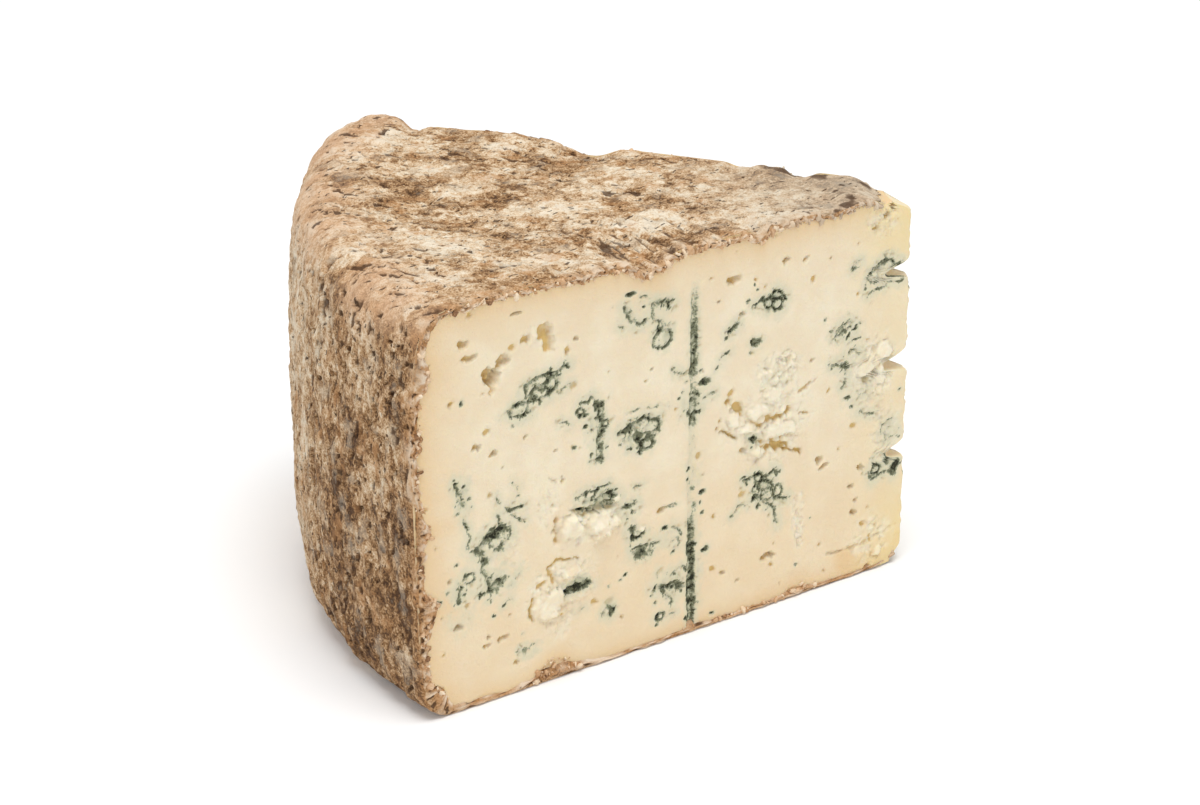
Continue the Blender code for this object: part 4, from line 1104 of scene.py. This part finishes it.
def build_rind():
    net = Net()
    r, z, angle, part = rind_rows()
    points = on_wheel(r, angle, z)
    normal = grid_normals(points)
    x, y = r * np.cos(angle), r * np.sin(angle)
    arc = WHEEL_RADIUS * angle
    top_h, top_crease_shade, top_pale = top_relief(x, y)
    rim_h, rim_crease_shade, rim_pale = rim_relief(arc, z)
    upness = normal[..., 2]
    rimness = smooth(-upness, -0.85, -0.35)
    height = top_h * (1 - rimness) + rim_h * rimness
    # the dark value is painted shade in creases and pits, and the pale value a painted highlight on crests
    dark = top_crease_shade * (1 - rimness) + rim_crease_shade * rimness
    pale = top_pale * (1 - rimness) + rim_pale * rimness
    for bearing, level_z, half_w, half_h, depth in RIM_PITS:
        away = np.hypot((arc - WHEEL_RADIUS * math.radians(bearing)) / half_w, (z - level_z) / half_h)
        away = away + 0.25 * fractal(arc / 1.5, z / 1.5, 77, 2)
        hole = smooth(-away, -1.15, -0.6) * (r > 100)
        height -= depth * hole
        # painted shade in the rim's pits
        dark = np.maximum(dark, hole)
    for bearing, level_z, half_angle, half_h, swell in RIM_SWELLS:
        away = np.hypot((np.degrees(angle) - bearing) / half_angle, (z - level_z) / half_h)
        height = height + swell * np.exp(-away * away) * smooth(r, 108, 122)
    is_base = smooth(-upness, 0.6, 0.95)
    height = height * (1 - is_base) + is_base * np.minimum(0.0, 0.35 * height - 0.1)
    smooth_tip = smooth(r, 9, 40)
    height = height * np.where(part[:, None] == 2, 0.45 + 0.55 * smooth_tip, 1.0)
    beside = (HALF_ANGLE - np.abs(angle)) * np.maximum(r, 20)
    height = height - 0.55 * np.exp(-beside / 0.9) * (1 - is_base)
    points = points + normal * height[..., None]
    points[..., 2] = np.maximum(points[..., 2], 0.0)
    # darker patches along the top's cut edges near the tip
    edge_patches = smooth(fractal(x / 3.4, y / 3.4, 261, 3), -0.05, 0.35)
    edge_patches = edge_patches * smooth(-r, -52, -26) * (part[:, None] == 2)
    dark = np.maximum(dark, 0.80 * edge_patches * np.exp(-((beside - 1.0) / 6.0) ** 2))
    edge = 0.8 * np.exp(-beside / 1.3) * (1 - 0.7 * smooth(-r, -50, -30))
    toward = np.exp(-(WHEEL_RADIUS - 5 - r) ** 2 / 90.0) * smooth(z, 74, 84)
    toward = toward * np.clip(0.75 + 0.9 * fractal(arc / 11, z / 7 + r / 9, 83, 3), 0, 1.3)
    bloom = np.zeros_like(r)
    for bearing, level_z, half_w, half_h, amount in RIM_BLOOM:
        away = np.hypot((arc - WHEEL_RADIUS * math.radians(bearing)) / half_w, (z - level_z) / half_h)
        away = away + 0.45 * fractal(arc / 4, z / 6, 78, 3)
        bloom = np.maximum(bloom, amount * smooth(-away, -1.3, -0.3) * rimness)
    for distance, bearing, half_x, half_y, amount in TOP_BLOOM:
        b = math.radians(bearing)
        away = np.hypot((x - distance * math.cos(b)) / half_x, (y - distance * math.sin(b)) / half_y)
        away = away + 0.45 * fractal(x / 6, y / 6, 79, 3)
        bloom = np.maximum(bloom, amount * smooth(-away, -1.3, -0.3) * (1 - rimness))
    # on the rim this value also rises from the base to the top, and is raised except near the front cut face,
    # so the rim is darker low down
    bloom = bloom + rimness * (0.70 * smooth(z, 10, 75) - 0.56) + 1.1 * rimness * smooth(-angle, -0.28, -0.02)
    grey = smooth(-r, -62, -14) * (part[:, None] == 2)
    outer = net.add(points, bloom=bloom, dark=dark, pale=pale, rimness=rimness, edge=edge,
                    peach=toward, grey=grey)

    # the crumbly bands that show on the cut faces
    bands = []
    for side, column in ((-1, 0), (1, -1)):
        _outward, inward = cut_axes(side)
        rim_line = points[:, column]
        n = normal[:, column] - (normal[:, column] @ inward)[:, None] * inward
        n /= np.linalg.norm(n, axis=1, keepdims=True)
        thick = rind_thickness(r[:, column], z[:, column], part, side)
        chains = []
        run = np.concatenate([[0], np.cumsum(np.linalg.norm(np.diff(rim_line, axis=0), axis=1))])
        for step in BAND_STEPS:
            rough = fractal(run / 1.0, run * 0 + step * 2.4, 91 + side, 3)
            proud = (0.28 + 0.75 * rough) * math.sin(math.pi * min(step + 0.1, 1.0)) - 0.10
            place = rim_line - n * (thick * step)[:, None] - inward * proud[:, None]
            place[:, 2] = np.maximum(place[:, 2], 0.0)
            tint = 0.35 + 0.65 * smooth(step, 0.1, 0.5)
            # painted shade on the sunken bits of each band and a painted highlight on the bits that stand
            # proud
            chains.append(net.add(place, dark=smooth(-rough, 0.15, 0.55), pale=smooth(rough, 0.0, 0.45),
                                  rimness=0.5, edge=tint, peach=0.0, grey=0.0))
        lift = np.zeros((len(r), 3))
        lift[:, 2] = np.where(part == 0, 3.0, 0.0)
        into = np.minimum(2.5, 0.25 * r[:, column])
        inner = rim_line - n * (thick + 1.0)[:, None] + inward * into[:, None] + lift
        chains.append(net.add(inner, dark=0.5, edge=1.0))
        bands.append(np.stack(chains, 1))
    back, front = bands
    top_rows = slice(BASE_ROWS + RIM_ROWS, len(r))
    rim_rows = slice(BASE_ROWS, BASE_ROWS + RIM_ROWS + 1)
    base_rows = slice(0, BASE_ROWS + 1)
    net.grid(outer[top_rows], (0.005, 0.38), (0.62, 0.615))
    net.grid(outer[rim_rows], (0.005, 0.005), (0.62, 0.365))
    net.grid(outer[base_rows], (0.64, 0.005), (0.35, 0.24))
    strip = 0.26
    for near, far, flip in ((outer[:, -1], front, False), (outer[:, 0], back, True)):
        numbers = np.concatenate([near[:, None], far], 1)
        net.grid(numbers.T, (0.64, strip), (0.355, 0.05), flip=not flip)
        strip += 0.06
    net.grid(np.stack([front[:, -1], back[:, -1]], 0), (0.64, strip), (0.355, 0.03), flip=True)
    strip += 0.04
    for row, flip in ((0, False), (-1, True)):
        ring = np.concatenate([outer[row], front[row], back[row][::-1]])
        net.fan(ring, (0.64, strip), (0.03, 0.03), flip)
        strip += 0.04
    return net.mesh("rind")


# ---------------------------------------------------------------- crumbs along the rind's cut edges
CRUMB_COUNT = 620
CRUMB_DEPTH = 0.10


def crumb_shape():
    """Points and faces of a unit crumb."""
    ball = bmesh.new()
    bmesh.ops.create_icosphere(ball, subdivisions=2, radius=1.0)
    points = np.array([v.co[:] for v in ball.verts])
    faces = np.array([[v.index for v in f.verts] for f in ball.faces])
    ball.free()
    return points, faces


def crumb_places(rng, count, side):
    """Where crumbs sit: along the top edge, down the rim edge and in two arches of the base edge."""
    kind = rng.random(count)
    clump = rng.uniform(0, 1, 46)[rng.integers(0, 46, count)] + rng.normal(0, 0.012, count)
    s = 11 + 114 * np.clip(np.where(rng.random(count) < 0.6, clump, rng.random(count)), 0, 1)
    below = below_top(s) if side > 0 else top_height(s, -HALF_ANGLE) - 1.6
    z = below + rng.uniform(-0.45, 0.75, count)
    down = kind > 0.56
    z_down = 3 + 80 * np.clip(clump, 0, 1)
    inside = inside_rim(z_down) if side > 0 else rim_radius(-HALF_ANGLE, z_down / WHEEL_HEIGHT) - 2.0
    s = np.where(down, inside + rng.uniform(-0.5, 0.9, count), s)
    z = np.where(down, z_down, z)
    low = kind > 0.82
    s_low = np.where(rng.random(count) > 0.45, rng.uniform(92, 105, count), rng.uniform(28, 66, count))
    s = np.where(low, s_low, s)
    z = np.where(low, above_base(s_low) * rng.uniform(0.3, 1.15, count), z)
    return s, z


def build_crumbs():
    rng = np.random.default_rng(7)
    points, faces = crumb_shape()
    net = Net()
    for side in (1, -1):
        s, z = crumb_places(rng, CRUMB_COUNT, side)
        tone = 0.82 * rng.random(CRUMB_COUNT)
        ashen = 0.6 * smooth(-s, -48, -26) * (z > 40)
        radius = 0.18 + 0.52 * rng.random(CRUMB_COUNT) ** 2.4
        for k in range(CRUMB_COUNT):
            turn = np.linalg.qr(rng.normal(size=(3, 3)))[0]
            shape = (points * rng.uniform(0.45, 1.5, 3)) @ turn
            bumps = 1 + 0.55 * noise(shape[:, 0] * 1.9 + k * 5.1, shape[:, 1] * 1.9 + shape[:, 2], 17)
            crumb = on_cut(s[k], z[k], np.array(CRUMB_DEPTH), side) + shape * bumps[:, None] * radius[k]
            crumb[:, 2] = np.maximum(crumb[:, 2], 0.0)
            numbers = net.add(crumb, tone=tone[k], ashen=ashen[k])
            net.faces.append(numbers[faces])
            net.places.append(crumb_layout(faces, k + (0 if side > 0 else CRUMB_COUNT)))
    return net.mesh("rind_crumbs")


def crumb_layout(faces, index):
    """A small square of the baked picture for each crumb, with its faces side by side."""
    per_row = math.ceil(math.sqrt(2 * CRUMB_COUNT))
    cell = 1.0 / per_row
    corner = np.array([index % per_row, index // per_row]) * cell
    grid = math.ceil(math.sqrt(len(faces)))
    number = np.arange(len(faces))
    spot = np.stack([number % grid, number // grid], -1) / grid
    tri = np.array([[0.05, 0.05], [0.95, 0.05], [0.05, 0.95]]) / grid
    return corner + (spot[:, None, :] + tri[None]) * cell


# ---------------------------------------------------------------- materials
class Shader:
    """Short helpers for building a node material."""

    def __init__(self, name):
        self.material = bpy.data.materials.new(name)
        self.material.use_nodes = True
        self.tree = self.material.node_tree
        self.bsdf = self.tree.nodes["Principled BSDF"]

    def link(self, value, socket):
        if isinstance(value, bpy.types.NodeSocket):
            self.tree.links.new(value, socket)
        else:
            socket.default_value = value

    def value(self, name):
        node = self.tree.nodes.new("ShaderNodeAttribute")
        node.attribute_name = name
        return node.outputs["Fac"]

    def place(self, stretch=(1, 1, 1), turn=0.0):
        """Object coordinates in mm, stretched."""
        coord = self.tree.nodes.new("ShaderNodeTexCoord")
        mapping = self.tree.nodes.new("ShaderNodeMapping")
        mapping.inputs["Scale"].default_value = [1000 * v for v in stretch]
        if turn:
            spin = self.tree.nodes.new("ShaderNodeMapping")
            spin.inputs["Rotation"].default_value = (0, 0, turn)
            self.tree.links.new(coord.outputs["Object"], spin.inputs["Vector"])
            self.tree.links.new(spin.outputs["Vector"], mapping.inputs["Vector"])
        else:
            self.tree.links.new(coord.outputs["Object"], mapping.inputs["Vector"])
        return mapping.outputs["Vector"]

    def noise(self, place, size, detail=3.0, rough=0.6, twist=0.0):
        node = self.tree.nodes.new("ShaderNodeTexNoise")
        node.inputs["Scale"].default_value = 1.0 / size
        node.inputs["Detail"].default_value = detail
        node.inputs["Roughness"].default_value = rough
        node.inputs["Distortion"].default_value = twist
        self.link(place, node.inputs["Vector"])
        return node.outputs["Fac"]

    def math(self, kind, a, b=0.0, c=None, clamp=False):
        node = self.tree.nodes.new("ShaderNodeMath")
        node.operation = kind
        node.use_clamp = clamp
        self.link(a, node.inputs[0])
        self.link(b, node.inputs[1])
        if c is not None:
            self.link(c, node.inputs[2])
        return node.outputs[0]

    def step(self, value, low, high, out_low=0.0, out_high=1.0):
        """A smooth step from out_low to out_high as a value goes from low to high."""
        node = self.tree.nodes.new("ShaderNodeMapRange")
        node.interpolation_type = "SMOOTHSTEP"
        ends = {"From Min": low, "From Max": high, "To Min": out_low, "To Max": out_high}
        for name, number in ends.items():
            node.inputs[name].default_value = number
        self.link(value, node.inputs["Value"])
        return node.outputs["Result"]

    def mix(self, amount, a, b, blend="MIX"):
        node = self.tree.nodes.new("ShaderNodeMix")
        node.data_type = "RGBA"
        node.blend_type = blend
        self.link(amount, node.inputs[0])
        self.link(a if isinstance(a, bpy.types.NodeSocket) else colour(*a), node.inputs[6])
        self.link(b if isinstance(b, bpy.types.NodeSocket) else colour(*b), node.inputs[7])
        return node.outputs[2]

    def ramp(self, value, stops):
        node = self.tree.nodes.new("ShaderNodeValToRGB")
        elements = node.color_ramp.elements
        while len(elements) < len(stops):
            elements.new(0.5)
        for element, (place, tone) in zip(elements, stops):
            element.position = place
            element.color = colour(*tone)
        self.link(value, node.inputs["Fac"])
        return node.outputs["Color"]

    def bump(self, height, distance):
        node = self.tree.nodes.new("ShaderNodeBump")
        node.inputs["Distance"].default_value = distance * 0.001
        self.link(height, node.inputs["Height"])
        self.link(node.outputs["Normal"], self.bsdf.inputs["Normal"])


def colour(r, g, b):
    """An 8-bit screen colour as a linear one."""
    def linear(v):
        v /= 255.0
        return v / 12.92 if v <= 0.04045 else ((v + 0.055) / 1.055) ** 2.4
    return (linear(r), linear(g), linear(b), 1.0)


IVORY = (236, 220, 190)
CREAM = (240, 228, 201)
WARM_PASTE = (229, 197, 149)
YELLOW_PASTE = (238, 216, 158)
HALO_PALE = (216, 211, 184)
HALO_GREEN = (188, 188, 161)
MOULD_PALE = (168, 170, 143)
MOULD = (115, 117, 91)
MOULD_DARK = (38, 39, 20)
# colour of the painted shade in holes, cracks, pits and gaps
STRAW_SHADE = (216, 178, 92)
CRUMB_WHITE = (247, 239, 216)


def paste_material():
    m = Shader("paste")
    fine = m.place()
    soft = m.noise(fine, 9.0, 3)
    grain = m.noise(fine, 0.5, 3, 0.65)
    speck = m.noise(fine, 0.9, 4, 0.7)
    base = m.mix(m.step(soft, 0.35, 0.7), IVORY, CREAM)
    base = m.mix(m.math("MULTIPLY", m.value("warm"), 0.95), base, WARM_PASTE)
    base = m.mix(m.math("MULTIPLY", m.value("yellow"), 0.8), base, YELLOW_PASTE)
    base = m.mix(m.value("crumb"), base, CRUMB_WHITE)
    # painted shade: straw colour wherever the paste is holed, cracked or pitted
    hole = m.step(m.math("ADD", m.value("hole"), m.math("MULTIPLY_ADD", grain, 0.4, -0.2)), 0.22, 0.80)
    base = m.mix(m.math("MULTIPLY", hole, 0.8), base, STRAW_SHADE)
    tint = m.math("ADD", m.value("halo"), m.math("MULTIPLY_ADD", speck, 0.5, -0.25))
    base = m.mix(m.step(tint, 0.05, 0.55, 0.0, 0.75), base, HALO_PALE)
    base = m.mix(m.step(tint, 0.50, 1.00, 0.0, 0.85), base, HALO_GREEN)
    torn = m.noise(fine, 1.7, 4, 0.72, 0.6)
    gate = m.step(m.math("MULTIPLY_ADD", m.value("halo"), 0.5, m.value("mould")), 0.10, 0.45)
    ragged = m.math("MULTIPLY_ADD", m.math("MULTIPLY_ADD", grain, 0.9, -0.45), gate, m.value("mould"))
    ragged = m.math("MULTIPLY_ADD", m.math("MULTIPLY_ADD", torn, 1.7, -0.85), gate, ragged)
    base = m.mix(m.step(ragged, 0.10, 0.36), base, MOULD_PALE)
    base = m.mix(m.step(ragged, 0.26, 0.58), base, MOULD)
    specked = m.math("ADD", ragged, m.math("MULTIPLY_ADD", speck, 1.8, -0.9))
    base = m.mix(m.step(specked, 0.55, 0.95), base, MOULD_DARK)
    m.link(base, m.bsdf.inputs["Base Color"])
    m.link(m.step(ragged, 0.1, 0.6, 0.48, 0.75), m.bsdf.inputs["Roughness"])
    m.bsdf.inputs["Subsurface Weight"].default_value = 0.3
    m.bsdf.inputs["Subsurface Radius"].default_value = (1.0, 0.7, 0.35)
    m.bsdf.inputs["Subsurface Scale"].default_value = 0.0016
    m.bsdf.inputs["Specular IOR Level"].default_value = 0.35
    m.bump(m.math("ADD", grain, m.math("MULTIPLY", speck, 0.6)), 0.16)
    return m.material


# Rind colours from its darkest creases to its palest bloom: place on the ramp, colour
RIND_TONES = (
    (0.26, (82, 56, 35)), (0.38, (134, 98, 62)), (0.47, (174, 136, 95)), (0.56, (207, 174, 136)),
    (0.66, (228, 205, 173)), (0.78, (240, 226, 203)),
)
# dark nicks, and the painted shade in the rind's creases, pits and sunken bits
RIND_DARK_AND_SHADE = (76, 50, 30)
RIND_GREY = (199, 187, 167)
RIND_PEACH = (220, 178, 142)
RIND_ORANGE = (196, 144, 94)
# painted highlight on the proud bits along the cut edges
RIND_HIGHLIGHT = (238, 220, 196)


def rind_material():
    m = Shader("rind")
    fine = m.place()
    upright = m.place((1.0, 1.0, 0.80))
    creased = m.place((0.42, 1.0, 0.6), math.radians(-24.0))
    coarse = m.place((0.85, 1.0, 0.9), math.radians(-24.0))
    rimness = m.value("rimness")
    patch = m.noise(fine, 11.0, 4, 0.6)
    mottle_rim = m.noise(upright, 2.0, 5, 0.72, 0.3)
    mottle_top = m.noise(coarse, 2.0, 5, 0.75, 0.4)
    mottle = m.mix(rimness, mottle_top, mottle_rim)
    sand = m.noise(fine, 0.42, 2, 0.6)
    tone = m.math("MULTIPLY_ADD", m.math("SUBTRACT", mottle, 0.5), 1.15, 0.5)
    tone = m.math("MULTIPLY_ADD", m.math("SUBTRACT", patch, 0.5), m.step(rimness, 0.0, 1.0, 1.05, 0.60), tone)
    tone = m.math("MULTIPLY_ADD", m.math("SUBTRACT", sand, 0.5), 0.60, tone)
    # painted highlight: a little lighter on the crests
    tone = m.math("MULTIPLY_ADD", m.value("pale"), 0.07, tone)
    tone = m.math("ADD", tone, m.step(rimness, 0.0, 1.0, 0.042, -0.035))
    tone = m.math("MULTIPLY_ADD", m.value("bloom"), 0.12, tone)
    base = m.ramp(tone, RIND_TONES)
    hue = m.noise(m.place((1.1, 1.3, 0.9)), 7.0, 4, 0.65)
    base = m.mix(m.step(hue, 0.52, 0.66, 0.0, 0.38), base, RIND_GREY)
    base = m.mix(m.step(hue, 0.46, 0.34, 0.0, 0.45), base, RIND_ORANGE)
    base = m.mix(m.math("MULTIPLY", m.value("grey"), 0.50), base, RIND_GREY)
    base = m.mix(m.math("MULTIPLY", m.value("peach"), 0.58), base, RIND_PEACH)
    base = m.mix(m.math("MULTIPLY", m.value("edge"), m.step(sand, 0.30, 0.6, 0.2, 0.8)), base, RIND_ORANGE)
    # painted highlight on the proud bits along the cut edges
    pale_edge = m.math("MULTIPLY", m.value("edge"), m.value("pale"))
    base = m.mix(m.math("MULTIPLY", pale_edge, 0.9), base, RIND_HIGHLIGHT)
    nick_rim = m.noise(upright, 1.25, 2, 0.5)
    nick_top = m.noise(creased, 0.95, 2, 0.5)
    nick = m.step(m.mix(rimness, nick_top, nick_rim), 0.345, 0.30)
    # dark nicks, plus painted shade from the dark value in creases, pits and sunken bits
    dark = m.math("MAXIMUM", nick, m.step(m.value("dark"), 0.25, 0.75))
    base = m.mix(m.math("MULTIPLY", dark, 0.85), base, RIND_DARK_AND_SHADE)
    m.link(base, m.bsdf.inputs["Base Color"])
    m.bsdf.inputs["Roughness"].default_value = 0.82
    m.bsdf.inputs["Specular IOR Level"].default_value = 0.25
    relief = m.math("MULTIPLY_ADD", sand, 0.35, m.math("MULTIPLY_ADD", nick, -0.6, mottle))
    m.bump(relief, 0.75)
    return m.material


# Crumbs of rind from dark to pale: place on the ramp, colour; and the colour of the mouldy ones
CRUMB_TONES = ((0.02, (128, 92, 62)), (0.16, (190, 146, 104)), (0.45, (216, 180, 142)),
               (0.75, (236, 214, 184)), (0.95, (244, 232, 212)))
CRUMB_ASH = (196, 186, 168)


def crumb_material():
    m = Shader("rind_crumbs")
    sand = m.noise(m.place(), 0.4, 2, 0.6)
    tone = m.math("MULTIPLY_ADD", m.math("SUBTRACT", sand, 0.5), 0.5, m.value("tone"))
    base = m.ramp(tone, CRUMB_TONES)
    base = m.mix(m.value("ashen"), base, CRUMB_ASH)
    m.link(base, m.bsdf.inputs["Base Color"])
    m.bsdf.inputs["Roughness"].default_value = 0.75
    m.bsdf.inputs["Specular IOR Level"].default_value = 0.3
    return m.material


# ---------------------------------------------------------------- floor, light, camera
def plain_material(name, value):
    m = Shader(name)
    m.bsdf.inputs["Base Color"].default_value = (value, value, value, 1.0)
    m.bsdf.inputs["Roughness"].default_value = 0.9
    m.bsdf.inputs["Specular IOR Level"].default_value = 0.0
    return m.material


# The white floor, in metres, just below the base, and a little light of its own for the studio's white
FLOOR_RADIUS = 4.0
FLOOR_LEVEL = -0.0002
FLOOR_WHITE = 0.93
FLOOR_GLOW = 0.06
# The soft light overhead: place and size in metres, watts; and the light from all round
KEY_PLACE = (-0.02, -0.34, 1.40)
KEY_SIZE = 0.9
KEY_POWER = 12.6
SKY_STRENGTH = 0.66
LIGHT_AIM = (0.0, 0.0, 0.04)


def build_floor():
    bpy.ops.mesh.primitive_circle_add(vertices=64, radius=FLOOR_RADIUS, fill_type="NGON",
                                      location=(0, 0, FLOOR_LEVEL))
    floor = bpy.context.object
    floor.name = "floor"
    floor.data.materials.append(plain_material("floor", FLOOR_WHITE))
    glow = floor.data.materials[0].node_tree.nodes["Principled BSDF"]
    glow.inputs["Emission Color"].default_value = (1.0, 1.0, 1.0, 1.0)
    glow.inputs["Emission Strength"].default_value = FLOOR_GLOW


def area_light(name, place, size, power, tint=(1.0, 1.0, 1.0)):
    data = bpy.data.lights.new(name, "AREA")
    data.shape = "DISK"
    data.size = size
    data.energy = power
    data.color = tint
    light = bpy.data.objects.new(name, data)
    light.location = place
    aim = np.array(LIGHT_AIM) - np.array(place)
    light.rotation_euler = Vector(aim).to_track_quat("-Z", "Y").to_euler()
    bpy.context.scene.collection.objects.link(light)


def build_light():
    world = bpy.data.worlds.new("studio")
    world.use_nodes = True
    world.node_tree.nodes["Background"].inputs["Color"].default_value = (1.0, 1.0, 1.0, 1.0)
    world.node_tree.nodes["Background"].inputs["Strength"].default_value = SKY_STRENGTH
    bpy.context.scene.world = world
    area_light("key", KEY_PLACE, KEY_SIZE, KEY_POWER)


# The camera, found by fitting the wheel to the photo's outline: its place from the wheel's axis in metres,
# how far it looks down, how far it is turned, and its lens on a 36 mm sensor
CAMERA_FROM_AXIS = (-0.178478, -0.727949, 0.333544)
CAMERA_PITCH = 21.7136
CAMERA_TURN = -8.547
CAMERA_LENS = 111.0


def build_camera():
    data = bpy.data.cameras.new("camera")
    data.lens = CAMERA_LENS
    data.sensor_width = 36.0
    camera = bpy.data.objects.new("camera", data)
    camera.location = (APEX_X * 0.001 + CAMERA_FROM_AXIS[0], CAMERA_FROM_AXIS[1], CAMERA_FROM_AXIS[2])
    camera.rotation_euler = (math.radians(90 - CAMERA_PITCH), 0.0, math.radians(CAMERA_TURN))
    bpy.context.scene.collection.objects.link(camera)
    bpy.context.scene.camera = camera


def main():
    scene = bpy.context.scene
    scene.view_settings.view_transform = "Standard"
    scene.view_settings.look = "None"
    for piece, material, slot in (
        (build_paste(), paste_material(), "paste"),
        (build_rind(), rind_material(), "rind"),
        (build_crumbs(), crumb_material(), "rind"),
    ):
        piece.data.materials.append(material)
        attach(piece, "root")
        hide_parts("cheese_wedge")
    build_floor()
    build_light()
    build_camera()


main()
